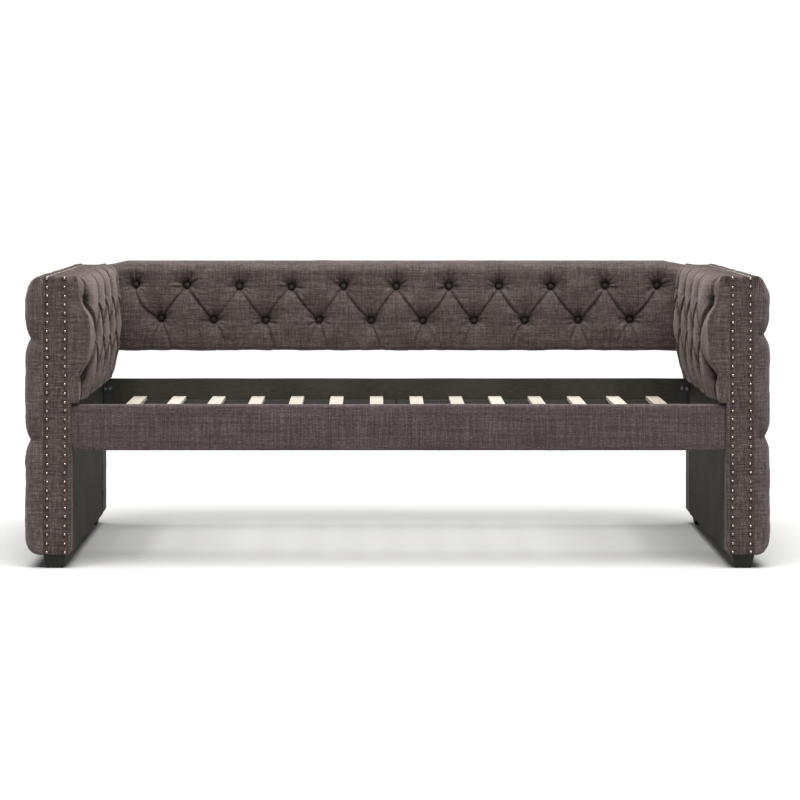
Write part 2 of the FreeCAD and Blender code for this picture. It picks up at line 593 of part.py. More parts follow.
# one countersunk screw at each end of each slat
sr, sh = P.screw_rad, P.screw_head_rad
screw_outline = [(0, -P.screw_long), (sr, -P.screw_long), (sr, -3.0), (sh, 0), (0, 0)]
slat_screws = node(rows("slat_screws_form", screw_outline,
                        [(P.slat_pitch * -6.5, -P.screw_y, 14, P.slat_pitch),
                         (P.slat_pitch * -6.5, P.screw_y, 14, P.slat_pitch)],
                        (0, 0, cleat_high + P.slat_thick), FreeCAD.Rotation()), "slat_screws")
node(cut("slats_cut", slat_body, slat_screws), "slats")
cleat = box("cleat_form", P.cleat_near_x, P.cleat_far_x, P.rail_inner_y - P.cleat_thick, P.rail_inner_y,
            P.cleat_low_z, cleat_high)
cleat_mx = mirror(cleat, "cleat_mx", (1, 0, 0))
rear_cleats = group("rear_cleats_form", cleat, cleat_mx)
front_cleats = group("front_cleats_form", mirror(cleat, "cleat_my", (0, 1, 0)), mirror(cleat_mx, "cleat_mxy", (0, 1, 0)))
node(cut("rear_cleats_cut", rear_cleats, slat_screws), "back_rail_cleats")
node(cut("front_cleats_cut", front_cleats, slat_screws), "front_rail_cleats")

# ---------------------------------------------------------------- brackets
bracket = doc.addObject("PartDesign::Body", "bracket_form")
bt, leg_r, leg_a = P.bracket_t, P.bracket_rail_leg, P.bracket_arm_leg
sk = polygon(bracket, "XY_Plane", "bracket_outline",
             [(0, 0), (-leg_r, 0), (-leg_r, -bt), (-bt, -bt), (-bt, -leg_a), (0, -leg_a)])
bracket_pad = pad(bracket, sk, "bracket_pad", P.bracket_tall)
doc.recompute()
place(bracket, (ix, P.rail_inner_y, P.bracket_low_z))
holes = []
for tag, z in (("low", P.bolt_low_z), ("high", P.bolt_high_z)):
    holes.append(cylinder("rail_hole_" + tag, P.bolt_clear_rad, bt + 2.0,
                          (P.rail_bolt_x, rail_face - 1.0, z), TO_REAR))
    holes.append(cylinder("arm_hole_" + tag, P.bolt_clear_rad, bt + 2.0,
                          (arm_face - 1.0, P.arm_bolt_y, z), TO_RIGHT))
bracket_cut = cut("bracket_cut", bracket, *holes)
node(four("brackets_set", bracket_cut), "corner_brackets")

# ---------------------------------------------------------------- check, write
doc.recompute()
bad = []
for obj in doc.Objects:
    for state in obj.State:
        if state in ("Invalid", "Error"):
            bad.append("%s: %s" % (obj.Name, state))
for label, obj in NODES.items():
    if obj.Shape.isNull() or not obj.Shape.isValid() or not obj.Shape.Solids:
        bad.append("%s: no valid solid" % label)
if bad:
    raise SystemExit("failed: " + "; ".join(bad))
if len(NODES) > 60:
    raise SystemExit("too many nodes: %d" % len(NODES))

os.makedirs("parts", exist_ok=True)
total = None
for label, obj in sorted(NODES.items()):
    obj.Shape.exportStep(os.path.join("parts", label + ".step"))
    b = obj.Shape.BoundBox
    print("%-26s solids %3d  volume %10.1f cm3  X %8.1f %8.1f  Y %7.1f %7.1f  Z %6.1f %6.1f"
          % (label, len(obj.Shape.Solids), obj.Shape.Volume / 1000, b.XMin, b.XMax, b.YMin, b.YMax, b.ZMin, b.ZMax))
    if total is None:
        total = FreeCAD.BoundBox(b)
    else:
        total.add(b)
print(len(NODES), "nodes; whole", total)
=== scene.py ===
import bmesh
import bpy
import json
import math
import numpy as np
from mathutils import Matrix, Vector

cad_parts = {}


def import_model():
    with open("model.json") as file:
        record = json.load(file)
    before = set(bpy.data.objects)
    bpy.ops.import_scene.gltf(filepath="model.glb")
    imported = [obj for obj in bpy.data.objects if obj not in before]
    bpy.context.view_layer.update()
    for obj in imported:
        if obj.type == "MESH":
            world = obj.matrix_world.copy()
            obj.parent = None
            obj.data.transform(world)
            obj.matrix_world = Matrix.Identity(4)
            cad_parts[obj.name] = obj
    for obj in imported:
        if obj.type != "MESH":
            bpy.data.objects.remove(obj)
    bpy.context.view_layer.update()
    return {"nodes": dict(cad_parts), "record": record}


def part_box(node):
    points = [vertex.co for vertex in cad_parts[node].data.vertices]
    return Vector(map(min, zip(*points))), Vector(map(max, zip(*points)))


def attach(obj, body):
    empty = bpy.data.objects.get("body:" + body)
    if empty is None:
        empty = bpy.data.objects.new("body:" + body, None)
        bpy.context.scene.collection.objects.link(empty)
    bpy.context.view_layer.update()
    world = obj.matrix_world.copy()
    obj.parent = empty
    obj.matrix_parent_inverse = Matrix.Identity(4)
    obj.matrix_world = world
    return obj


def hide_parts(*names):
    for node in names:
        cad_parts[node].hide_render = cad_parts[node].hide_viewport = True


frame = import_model()
record = frame["record"]
MM = 0.001
WORLD_UP = 0.22


def node_box(name):
    lo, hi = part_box(name)
    return np.array(lo) / MM, np.array(hi) / MM


# ------------------------------------------------------------------ materials
class Tree:
    """Short calls for building a material's nodes."""

    def __init__(self, name):
        self.m = bpy.data.materials.new(name)
        self.m.use_nodes = True
        self.t = self.m.node_tree
        self.t.nodes.clear()
        self.out = self.t.nodes.new("ShaderNodeOutputMaterial")
        self.b = self.t.nodes.new("ShaderNodeBsdfPrincipled")
        self.t.links.new(self.b.outputs[0], self.out.inputs[0])

    def n(self, kind, **props):
        x = self.t.nodes.new(kind)
        for k, v in props.items():
            setattr(x, k, v)
        return x

    def put(self, socket, v):
        if isinstance(v, bpy.types.NodeSocket):
            self.t.links.new(v, socket)
        elif v is not None:
            socket.default_value = v

    def math(self, op, a, b=None, c=None, clamp=False):
        x = self.n("ShaderNodeMath", operation=op, use_clamp=clamp)
        for s, v in zip(x.inputs, (a, b, c)):
            self.put(s, v)
        return x.outputs[0]

    def vmath(self, op, a, b=None):
        x = self.n("ShaderNodeVectorMath", operation=op)
        self.put(x.inputs[0], a)
        if b is not None:
            self.put(x.inputs[1], b)
        return x.outputs[0]

    def mapping(self, v, scale=(1, 1, 1), loc=(0, 0, 0), rot=(0, 0, 0)):
        x = self.n("ShaderNodeMapping")
        self.put(x.inputs["Vector"], v)
        x.inputs["Scale"].default_value = scale
        x.inputs["Location"].default_value = loc
        x.inputs["Rotation"].default_value = rot
        return x.outputs[0]

    def noise(self, v, scale=1.0, detail=2.0, rough=0.5, dist=0.0):
        x = self.n("ShaderNodeTexNoise")
        self.put(x.inputs["Vector"], v)
        x.inputs["Scale"].default_value = scale
        x.inputs["Detail"].default_value = detail
        x.inputs["Roughness"].default_value = rough
        x.inputs["Distortion"].default_value = dist
        return x.outputs["Fac"]

    def ramp(self, f, stops):
        x = self.n("ShaderNodeValToRGB")
        self.put(x.inputs[0], f)
        e = x.color_ramp.elements
        while len(e) < len(stops):
            e.new(0.5)
        for el, (p, c) in zip(e, stops):
            el.position = p
            el.color = (c, c, c, 1) if isinstance(c, float) else (*c, 1)
        return x.outputs[0]

    def mix(self, f, a, b, blend="MIX"):
        x = self.n("ShaderNodeMix", data_type="RGBA", blend_type=blend)
        self.put(x.inputs[0], f)
        self.put(x.inputs[6], (*a, 1) if isinstance(a, tuple) else a)
        self.put(x.inputs[7], (*b, 1) if isinstance(b, tuple) else b)
        return x.outputs[2]

    def range(self, v, a, b, c, d):
        x = self.n("ShaderNodeMapRange")
        for s, q in zip(x.inputs, (v, a, b, c, d)):
            self.put(s, q)
        return x.outputs[0]

    def bump(self, h, strength=0.5, dist=0.001, normal=None):
        x = self.n("ShaderNodeBump")
        self.put(x.inputs["Height"], h)
        x.inputs["Strength"].default_value = strength
        x.inputs["Distance"].default_value = dist
        if normal is not None:
            self.put(x.inputs["Normal"], normal)
        return x.outputs[0]

    def set(self, **kw):
        for k, v in kw.items():
            self.put(self.b.inputs[k.replace("_", " ")], v)

    def flat_coords(self):
        """Object coordinates turned so that X and Y lie in the face: the
        pattern never smears down a side."""
        pos = self.n("ShaderNodeTexCoord").outputs["Object"]
        nor = self.n("ShaderNodeNewGeometry").outputs["True Normal"]
        sp, sn = self.n("ShaderNodeSeparateXYZ"), self.n("ShaderNodeSeparateXYZ")
        self.put(sp.inputs[0], pos)
        self.put(sn.inputs[0], nor)
        ax = [self.math("ABSOLUTE", sn.outputs[i]) for i in range(3)]
        xbig = self.math("GREATER_THAN", ax[0], self.math("MAXIMUM", ax[1], ax[2]))
        zbig = self.math("GREATER_THAN", ax[2], self.math("MAXIMUM", ax[0], ax[1]))
        u = self.math("ADD", self.math("MULTIPLY", sp.outputs[1], xbig),
                      self.math("MULTIPLY", sp.outputs[0], self.math("SUBTRACT", 1.0, xbig)))
        w = self.math("ADD", self.math("MULTIPLY", sp.outputs[1], zbig),
                      self.math("MULTIPLY", sp.outputs[2], self.math("SUBTRACT", 1.0, zbig)))
        c = self.n("ShaderNodeCombineXYZ")
        self.put(c.inputs[0], u)
        self.put(c.inputs[1], w)
        return c.outputs[0]


def linen(name, dark, base, light, cloth_coords=True, along=1.0, across=1.0, contrast=1.0, turn=False, sheen=0.22, spec=0.18, streak=0.0):
    """Heavy linen-look upholstery: uneven slubby threads both ways, small
    shifts of hue, a soft sheen.  cloth_coords reads the unrolled cloth
    coordinates stored on the pads, so the threads follow folds and wells."""
    T = Tree(name)
    if cloth_coords:
        v = T.n("ShaderNodeAttribute", attribute_name="cloth").outputs["Vector"]
    else:
        v = T.flat_coords()
    if turn:
        v = T.mapping(v, rot=(0, 0, math.pi / 2))
    # a slow wander so that no thread is ruler straight
    wob = T.noise(v, 9.0, 1.0)
    off = T.math("MULTIPLY", T.math("SUBTRACT", wob, 0.5), 0.006)
    v = T.vmath("ADD", v, off)
    weft1 = T.noise(T.mapping(v, (32 * along, 250, 1)), 1.0, 2.0, 0.6)
    weft2 = T.noise(T.mapping(v, (90 * along, 600, 1), (3.1, 7.7, 0)), 1.0, 1.0, 0.5)
    warp1 = T.noise(T.mapping(v, (240, 26 * across, 1), (11.3, 2.9, 4.0)), 1.0, 2.0, 0.6)
    warp2 = T.noise(T.mapping(v, (580, 80 * across, 1), (5.3, 1.7, 8.0)), 1.0, 1.0, 0.5)
    broad = T.noise(v, 14.0, 2.0)
    tone = T.math("ADD", T.math("MULTIPLY", weft1, 1.15), T.math("MULTIPLY", weft2, 0.75))
    tone = T.math("ADD", tone, T.math("MULTIPLY", warp1, 1.0))
    tone = T.math("ADD", tone, T.math("MULTIPLY", warp2, 0.6))
    tone = T.math("ADD", tone, T.math("MULTIPLY", broad, 0.35))
    tone = T.math("DIVIDE", tone, 3.85)
    if streak:
        slow = T.noise(T.mapping(v, (75, 7, 1), (6.1, 2.2, 0)), 1.0, 2.0, 0.6)
        slow2 = T.noise(T.mapping(v, (7, 150, 1), (1.1, 8.2, 3.0)), 1.0, 2.0, 0.6)
        slow = T.math("ADD", T.math("MULTIPLY", slow, 0.6), T.math("MULTIPLY", slow2, 0.4))
        tone = T.math("ADD", tone, T.math("MULTIPLY", T.math("SUBTRACT", slow, 0.5), streak))
    k = 0.125 / contrast
    f = T.range(tone, 0.5 - k, 0.5 + k, 0.0, 1.0)
    col = T.ramp(f, [(0.0, dark), (0.5, base), (1.0, light)])
    # threads of a second, warmer dye lot and a cooler one
    hue = T.noise(T.mapping(v, (4, 120, 1), (9.0, 0.4, 1.0)), 1.0, 1.0)
    col = T.mix(T.range(hue, 0.42, 0.62, 0.0, 0.30), col, (0.112, 0.078, 0.062), "SOFT_LIGHT")
    hue2 = T.noise(T.mapping(v, (130, 5, 1), (2.0, 5.4, 6.0)), 1.0, 1.0)
    col = T.mix(T.range(hue2, 0.46, 0.64, 0.0, 0.22), col, (0.075, 0.066, 0.085), "SOFT_LIGHT")
    # painted shade: the colour is pulled toward near-black by the stored painted shade of folds, button wells, nail
    # heads and band edges
    if cloth_coords:
        cr = T.n("ShaderNodeAttribute", attribute_name="painted_shade").outputs["Fac"]
        col = T.mix(T.math("MULTIPLY", cr, 0.88), col, (0.007, 0.0055, 0.005))
    T.set(Base_Color=col, Roughness=0.92, Specular_IOR_Level=spec)
    T.set(Sheen_Weight=sheen, Sheen_Roughness=0.45)
    T.b.inputs["Sheen Tint"].default_value = (0.72, 0.66, 0.63, 1)
    # thread crowns: a basket of round threads about a millimetre apart
    s = T.n("ShaderNodeSeparateXYZ")
    T.put(s.inputs[0], v)
    a = T.math("SINE", T.math("MULTIPLY", s.outputs[0], 2 * math.pi / 0.0019))
    b = T.math("SINE", T.math("MULTIPLY", s.outputs[1], 2 * math.pi / 0.0019))
    basket = T.math("MULTIPLY", T.math("ADD", T.math("MULTIPLY", a, b), 1.0), 0.5)
    h = T.math("ADD", T.math("MULTIPLY", basket, 0.35), T.math("MULTIPLY", T.math("ADD", weft2, warp2), 0.9))
    h = T.math("ADD", h, T.math("MULTIPLY", T.math("ADD", weft1, warp1), 0.8))
    T.set(Normal=T.bump(h, 0.55, 0.0016))
    return T.m


DARK, BASE, LIGHT = (0.0315, 0.0234, 0.0222), (0.0625, 0.0475, 0.0448), (0.123, 0.0985, 0.0935)
M_cloth = linen("linen_pads", DARK, BASE, LIGHT)
# the trim linen is the pad linen made about a tenth darker: painted shade for the band, turned edges and rear cloth
M_cloth_trim = linen("linen_trim", tuple(0.86 * c for c in DARK), tuple(0.89 * c for c in BASE), tuple(0.90 * c for c in LIGHT), contrast=1.1, sheen=0.13, spec=0.09)
M_cloth_rail = linen("linen_rails", (0.0272, 0.0202, 0.0210), (0.0525, 0.0397, 0.0408), (0.102, 0.0812, 0.0825), along=2.2, across=0.36, contrast=1.1)
M_cloth_side = linen("linen_inner_pads", tuple(0.97 * c for c in DARK), tuple(1.02 * c for c in BASE), tuple(0.98 * c for c in LIGHT), sheen=0.27, spec=0.06, streak=0.22)
M_cloth_side.node_tree.nodes["Principled BSDF"].inputs["Sheen Tint"].default_value = (0.84, 0.70, 0.65, 1)
# the buttons' cloth is the pad linen made much darker: painted shade of the deep wells they sit in
M_button_shaded = linen("linen_buttons", (0.019, 0.0150, 0.0142), (0.035, 0.0280, 0.0265), (0.062, 0.050, 0.047), cloth_coords=False, sheen=0.08, spec=0.10)


def black_cloth():
    """Thin non-woven dust cloth: charcoal, faintly mottled, dull sheen."""
    T = Tree("dust_cloth")
    v = T.flat_coords()
    fine = T.noise(v, 900.0, 2.0, 0.7)
    grid = T.noise(T.mapping(v, (40, 420, 1)), 1.0, 2.0)
    broad = T.noise(v, 5.0, 2.0)
    f = T.math("ADD", T.math("MULTIPLY", fine, 0.35), T.math("ADD", T.math("MULTIPLY", grid, 0.35), T.math("MULTIPLY", broad, 0.3)))
    col = T.ramp(T.range(f, 0.38, 0.62, 0.0, 1.0), [(0.0, (0.0215, 0.0196, 0.0155)), (1.0, (0.0480, 0.0441, 0.0358))])
    T.set(Base_Color=col, Roughness=0.95, Specular_IOR_Level=0.06, Sheen_Weight=0.015, Sheen_Roughness=0.5)
    T.set(Normal=T.bump(T.math("ADD", fine, grid), 0.3, 0.0008))
    return T.m


def pine():
    """Pale planed pine: straight grain along the slat, a different board for
    each slat, the odd darker streak and pin knot."""
    T = Tree("slat_pine")
    pos = T.n("ShaderNodeTexCoord").outputs["Object"]
    s = T.n("ShaderNodeSeparateXYZ")
    T.put(s.inputs[0], pos)
    board = T.math("FLOOR", T.math("ADD", T.math("DIVIDE", s.outputs[0], 0.1325), 100.0))
    rnd = T.n("ShaderNodeTexWhiteNoise", noise_dimensions="1D")
    T.put(rnd.inputs["W"], board)
    shift = T.vmath("MULTIPLY", rnd.outputs["Color"], (3.0, 7.0, 2.0))
    v = T.vmath("ADD", pos, shift)
    warp = T.noise(T.mapping(v, (6, 1.2, 6)), 1.0, 1.0)
    w = T.vmath("ADD", v, T.math("MULTIPLY", warp, 0.02))
    rings = T.n("ShaderNodeTexWave", wave_type="BANDS", bands_direction="X")
    T.put(rings.inputs["Vector"], T.mapping(w, (1, 0.012, 0.6)))
    rings.inputs["Scale"].default_value = 75.0
    rings.inputs["Distortion"].default_value = 5.0
    rings.inputs["Detail"].default_value = 2.0
    rings.inputs["Detail Scale"].default_value = 1.2
    fibre = T.noise(T.mapping(v, (900, 14, 900)), 1.0, 3.0, 0.6)
    f = T.math("ADD", T.math("MULTIPLY", rings.outputs["Fac"], 0.45), T.math("MULTIPLY", fibre, 0.55))
    col = T.ramp(f, [(0.15, (0.29, 0.252, 0.203)), (0.5, (0.36, 0.327, 0.279)), (0.9, (0.42, 0.395, 0.350))])
    knots = T.n("ShaderNodeTexVoronoi", feature="F1")
    T.put(knots.inputs["Vector"], T.mapping(v, (9, 3.2, 9)))
    knots.inputs["Scale"].default_value = 1.0
    k = T.range(knots.outputs["Distance"], 0.03, 0.085, 1.0, 0.0)
    col = T.mix(T.math("MULTIPLY", k, 0.35), col, (0.27, 0.18, 0.11))
    tint = T.range(rnd.outputs["Value"], 0.0, 1.0, 0.90, 1.08)
    c = T.n("ShaderNodeCombineXYZ")
    for i in range(3):
        T.put(c.inputs[i], tint)
    col = T.mix(1.0, col, c.outputs[0], "MULTIPLY")
    T.set(Base_Color=col, Roughness=T.range(fibre, 0.3, 0.7, 0.52, 0.68), Specular_IOR_Level=0.35)
    T.set(Normal=T.bump(T.math("ADD", fibre, T.math("MULTIPLY", rings.outputs["Fac"], 0.4)), 0.25, 0.0006))
    return T.m


def painted(name, low, high, rough, grain=(300, 12, 12), bump=0.2, metal=0.0):
    """Paint over wood grain or powder-coated steel, a little uneven."""
    T = Tree(name)
    v = T.n("ShaderNodeTexCoord").outputs["Object"]
    g = T.noise(T.mapping(v, grain), 1.0, 3.0, 0.6)
    m = T.noise(v, 30.0, 3.0, 0.6)
    f = T.math("ADD", T.math("MULTIPLY", g, 0.5), T.math("MULTIPLY", m, 0.5))
    T.set(Base_Color=T.ramp(T.range(f, 0.35, 0.65, 0.0, 1.0), [(0.0, low), (1.0, high)]),
          Roughness=T.range(m, 0.3, 0.7, rough - 0.07, rough + 0.07), Metallic=metal)
    T.set(Normal=T.bump(g, bump, 0.0006))
    return T.m


def nail_metal():
    """Antiqued nickel heads: uneven tone, fine scuffs."""
    T = Tree("nail_metal")
    v = T.n("ShaderNodeTexCoord").outputs["Object"]
    m = T.noise(v, 160.0, 2.0)
    sc = T.noise(T.mapping(v, (900, 900, 300)), 1.0, 3.0, 0.7)
    T.set(Base_Color=T.ramp(T.range(m, 0.35, 0.65, 0.0, 1.0), [(0.0, (0.155, 0.138, 0.117)), (1.0, (0.315, 0.284, 0.248))]),
          Metallic=1.0, Roughness=T.range(sc, 0.3, 0.7, 0.15, 0.30))
    T.set(Normal=T.bump(sc, 0.12, 0.0003))
    return T.m


def board_wood(name, low, high):
    T = Tree(name)
    v = T.n("ShaderNodeTexCoord").outputs["Object"]
    g = T.noise(T.mapping(v, (4, 4, 160)), 1.0, 4.0, 0.6, 0.3)
    f = T.noise(T.mapping(v, (60, 60, 700)), 1.0, 2.0)
    k = T.math("ADD", T.math("MULTIPLY", g, 0.7), T.math("MULTIPLY", f, 0.3))
    T.set(Base_Color=T.ramp(T.range(k, 0.35, 0.65, 0.0, 1.0), [(0.0, low), (1.0, high)]), Roughness=T.range(f, 0.3, 0.7, 0.6, 0.8))
    T.set(Normal=T.bump(k, 0.2, 0.0006))
    return T.m


M_black_cloth = black_cloth()
M_pine = pine()
M_foot = painted("foot_paint", (0.006, 0.0058, 0.0055), (0.013, 0.0125, 0.012), 0.55, grain=(14, 14, 260), bump=0.18)
M_foot.node_tree.nodes["Principled BSDF"].inputs["Specular IOR Level"].default_value = 0.22
M_ledge = painted("ledge_paint", (0.010, 0.0095, 0.0085), (0.022, 0.0210, 0.0190), 0.6, grain=(8, 260, 260), bump=0.3)
M_steel = painted("bracket_coat", (0.014, 0.014, 0.015), (0.026, 0.026, 0.027), 0.38, grain=(700, 700, 700), bump=0.15, metal=0.2)
M_bolt = painted("bolt_steel", (0.26, 0.255, 0.245), (0.44, 0.43, 0.41), 0.28, grain=(900, 900, 900), bump=0.1, metal=1.0)
M_zinc = painted("zinc_steel", (0.45, 0.44, 0.42), (0.62, 0.61, 0.58), 0.35, grain=(900, 900, 900), bump=0.1, metal=1.0)
M_nail = nail_metal()
M_timber = board_wood("frame_timber", (0.45, 0.32, 0.19), (0.66, 0.52, 0.35))
M_ply = board_wood("plywood", (0.40, 0.29, 0.18), (0.58, 0.45, 0.30))
M_foam = painted("foam", (0.72, 0.68, 0.56), (0.82, 0.78, 0.66), 0.9, grain=(500, 500, 500), bump=0.4)

SLOT_MATERIAL = {
    "upholstery": M_cloth, "button_cloth": M_button_shaded, "foam": M_foam, "black_cloth": M_black_cloth,
    "nail_metal": M_nail, "foot_paint": M_foot, "black_wood": M_ledge, "slat_pine": M_pine,
    "black_steel": M_steel, "bolt_steel": M_bolt, "zinc_steel": M_zinc, "plywood": M_ply, "frame_timber": M_timber,
}
M_cloth_flat = linen("linen_flat", DARK, BASE, LIGHT, cloth_coords=False)
for row in record["subparts"]:
    o = frame["nodes"][row["node"]]
    m = SLOT_MATERIAL[row["material_slot"]]
    if m is M_cloth:
        m = M_cloth_flat
    o.data.materials.clear()
    o.data.materials.append(m)


# ------------------------------------------------------------------ mesh help
def new_mesh(name, verts, faces, material, cloth=None, uv=None, smooth=True, shade=None):
    """verts in millimetres in the row frame."""
    me = bpy.data.meshes.new(name)
    me.from_pydata((np.asarray(verts, float) * MM).tolist(), [], faces)
    me.update()
    if cloth is not None:
        at = me.attributes.new("cloth", "FLOAT_VECTOR", "POINT")
        c = np.zeros((len(verts), 3), np.float32)
        c[:, :2] = np.asarray(cloth, np.float32) * MM
        at.data.foreach_set("vector", c.ravel())
        # painted shade per point, which the linen material darkens its colour by
        sh = me.attributes.new("painted_shade", "FLOAT", "POINT")
        sh.data.foreach_set("value", np.zeros(len(verts), np.float32) if shade is None else np.asarray(shade, np.float32))
    if uv is not None:
        layer = me.uv_layers.new(name="OFBake")
        loops = np.empty(len(me.loops), np.int32)
        me.loops.foreach_get("vertex_index", loops)
        layer.uv.foreach_set("vector", np.asarray(uv, np.float32)[loops].ravel())
    if smooth:
        me.polygons.foreach_set("use_smooth", np.ones(len(me.polygons), bool))
    me.materials.append(material)
    ob = bpy.data.objects.new(name, me)
    bpy.context.scene.collection.objects.link(ob)
    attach(ob, "root")
    return ob


def outward(ob):
    """Turns every shell's faces outward."""
    bm = bmesh.new()
    bm.from_mesh(ob.data)
    bmesh.ops.recalc_face_normals(bm, faces=bm.faces)
    bm.to_mesh(ob.data)
    bm.free()


class Waves:
    """Smooth seeded noise over the plane, from a few random waves."""

    def __init__(self, seed, scale, n=10):
        r = np.random.RandomState(seed)
        ang = r.uniform(0, math.pi * 2, n)
        k = 2 * math.pi / (scale * r.uniform(0.6, 1.7, n))
        self.kx, self.ky = k * np.cos(ang), k * np.sin(ang)
        self.p = r.uniform(0, math.pi * 2, n)
        self.n = n

    def __call__(self, a, b):
        s = np.zeros_like(a)
        for kx, ky, p in zip(self.kx, self.ky, self.p):
            s += np.sin(kx * a + ky * b + p)
        return s / math.sqrt(self.n)


def curve_points(p0, p1, bow, n=14):
    """A gentle bow from p0 to p1; bow is the sideways offset at the middle."""
    p0, p1 = np.array(p0, float), np.array(p1, float)
    d = p1 - p0
    L = np.hypot(*d)
    nrm = np.array([-d[1], d[0]]) / L
    t = np.linspace(0, 1, n + 1)[:, None]
    return p0 + d * t + nrm * (4 * bow * t * (1 - t)), L


class Pleat:
    """A fold between two places on a pad.  deep is its depth at the button
    end, mid in the middle; open_end marks a fold that runs out at an edge;
    dark is how far its painted shade spreads on the under side."""

    def __init__(self, p0, p1, mid, deep, bow=0.0, side=1, wide=20.0, open_end=False, end=None, phase=0.0, dark=3.0, even=False):
        self.pts, self.L = curve_points(p0, p1, bow)
        self.mid, self.deep, self.side, self.wide = mid, deep, side, wide
        self.open_end = open_end
        self.end = mid if end is None else end
        self.phase = phase
        self.dark = dark
        self.even = even

    def measure(self, a, b):
        """signed distance, place along 0..1, for points (a, b)"""
        best = np.full(a.shape, 1e9)
        sgn = np.ones(a.shape)
        s = np.zeros(a.shape)
        nx = np.zeros(a.shape)
        ny = np.zeros(a.shape)
        m = len(self.pts) - 1
        for i in range(m):
            (x0, y0), (x1, y1) = self.pts[i], self.pts[i + 1]
            dx, dy = x1 - x0, y1 - y0
            q = dx * dx + dy * dy
            t = np.clip(((a - x0) * dx + (b - y0) * dy) / q, 0, 1)
            ex, ey = a - (x0 + t * dx), b - (y0 + t * dy)
            d = np.hypot(ex, ey)
            near = d < best
            best = np.where(near, d, best)
            l = math.sqrt(q)
            cr = (dx * ey - dy * ex) / l
            sgn = np.where(near, np.where(cr >= 0, 1.0, -1.0), sgn)
            s = np.where(near, (i + t) / m, s)
            nx = np.where(near, -dy / l, nx)
            ny = np.where(near, dx / l, ny)
        return best, sgn * self.side, s, nx * self.side, ny * self.side


def fold_field(a, b, buttons, pleats, seed, pucker=1.0):
    """Depth below the crown over a pad, the sideways shift of the cloth
    where a fold laps over its neighbour, and the painted shade for the
    colour along the folds and round the buttons."""
    total = np.zeros_like(a)
    sa, sb = np.zeros_like(a), np.zeros_like(a)
    lift, shade = np.zeros_like(a), np.zeros_like(a)
    rng = np.random.RandomState(seed)
    P = 3.2
    for pl in pleats:
        lo, hi = pl.pts.min(0) - 62, pl.pts.max(0) + 62
        idx = np.nonzero((a > lo[0]) & (a < hi[0]) & (b > lo[1]) & (b < hi[1]))[0]
        if not len(idx):
            continue
        d, sg, s, nx, ny = pl.measure(a[idx], b[idx])
        if pl.open_end:
            g = pl.end + (pl.deep - pl.end) * (1 - s) ** 2.0
            g = np.maximum(g, pl.mid * np.clip(4 * s * (1 - s) + 0.35, 0, 1))
        else:
            g = pl.mid + (pl.deep - pl.mid) * np.abs(2 * s - 1) ** 2.4
        w = pl.wide
        over = 0.30 * np.exp(-(d / w) ** 1.6) + 0.70 * np.exp(-(d / 3.4) ** 1.1)
        under = 0.88 * np.exp(-(d / (w * 0.80)) ** 1.2) + 0.12 * np.exp(-d / 2.5)
        if pl.even:
            over = under = np.exp(-(d / w) ** 1.25)
        dep = g * np.where(sg > 0, over, under)
        lip = np.where(sg > 0, 1.5 * np.exp(-((d - 7.0) / 4.5) ** 2), 0.0) * np.clip(g / 9.0, 0, 1.3) * (not pl.even)
        lift[idx] = np.maximum(lift[idx], lip)
        # painted shade along the fold: a thin dark line on the lapped side, a wider one on the under side
        dim = np.where(sg > 0, np.exp(-(d / 1.6) ** 2), np.exp(-(d / pl.dark) ** 1.3)) * np.clip(g / 8.0, 0, 1.0)
        if pl.open_end:
            dim = dim * np.clip(1.15 - s * 0.75, 0, 1) * (0.75 if not pl.even else 0.45)
        shade[idx] = np.maximum(shade[idx], dim)
        rip = 0.45 * np.sin(s * pl.L * 2 * math.pi / 15.0 + pl.phase) * np.exp(-d / 13.0) * np.clip(d / 4.0, 0, 1)
        dep = dep + rip * np.clip(g / 9.0, 0, 1)
        total[idx] += np.maximum(dep, 0) ** P
        lap = np.where(sg > 0, np.exp(-d / 4.5), 0.25 * np.exp(-d / 3.0)) * np.clip(g / 10.0, 0, 1) * 2.0
        fade = np.clip(np.minimum(s, 1 - s if not pl.open_end else 1.0) * pl.L / 14.0, 0, 1)
        sa[idx] -= nx * lap * fade
        sb[idx] -= ny * lap * fade
    for (ba, bb, depth, rad) in buttons:
        r = np.hypot(a - ba, b - bb)
        idx = np.nonzero(r < 110)[0]
        if not len(idx):
            continue
        rr = r[idx]
        th = np.arctan2(b[idx] - bb, a[idx] - ba)
        q = np.maximum(rr - 11.0, 0)
        cone = depth * (0.42 * np.exp(-(q / 5.5) ** 1.6) + 0.58 * np.exp(-(q / (rad * 1.45)) ** 1.15))
        ray = np.zeros_like(rr)
        for k in (5, 8, 11, 15):
            ray += rng.uniform(0.4, 1.0) * np.sin(k * th + rng.uniform(0, 6.28) + 0.6 * np.sin(th + rng.uniform(0, 6.28)))
        env = np.exp(-((rr - 23.0) / 17.0) ** 2)
        cone = cone + pucker * 1.25 * ray * env
        # painted shade: a dark ring round each button and a dark smear up and to one side of it, where the well's
        # shadow falls
        up = 0.5 + 0.5 * np.cos(th - 1.2)
        dim = 0.97 * np.exp(-(np.maximum(rr - 11.5, 0) / (3.6 + 3.2 * up)) ** 1.4) + 0.40 * up ** 1.5 * np.exp(-(rr / 33.0) ** 2)
        dim = np.minimum(dim * (1 + 0.17 * ray * env), 1.0)
        shade[idx] = np.maximum(shade[idx], dim)
        total[idx] += np.maximum(cone, 0) ** P
    return total ** (1 / P) - lift, sa, sb, shade


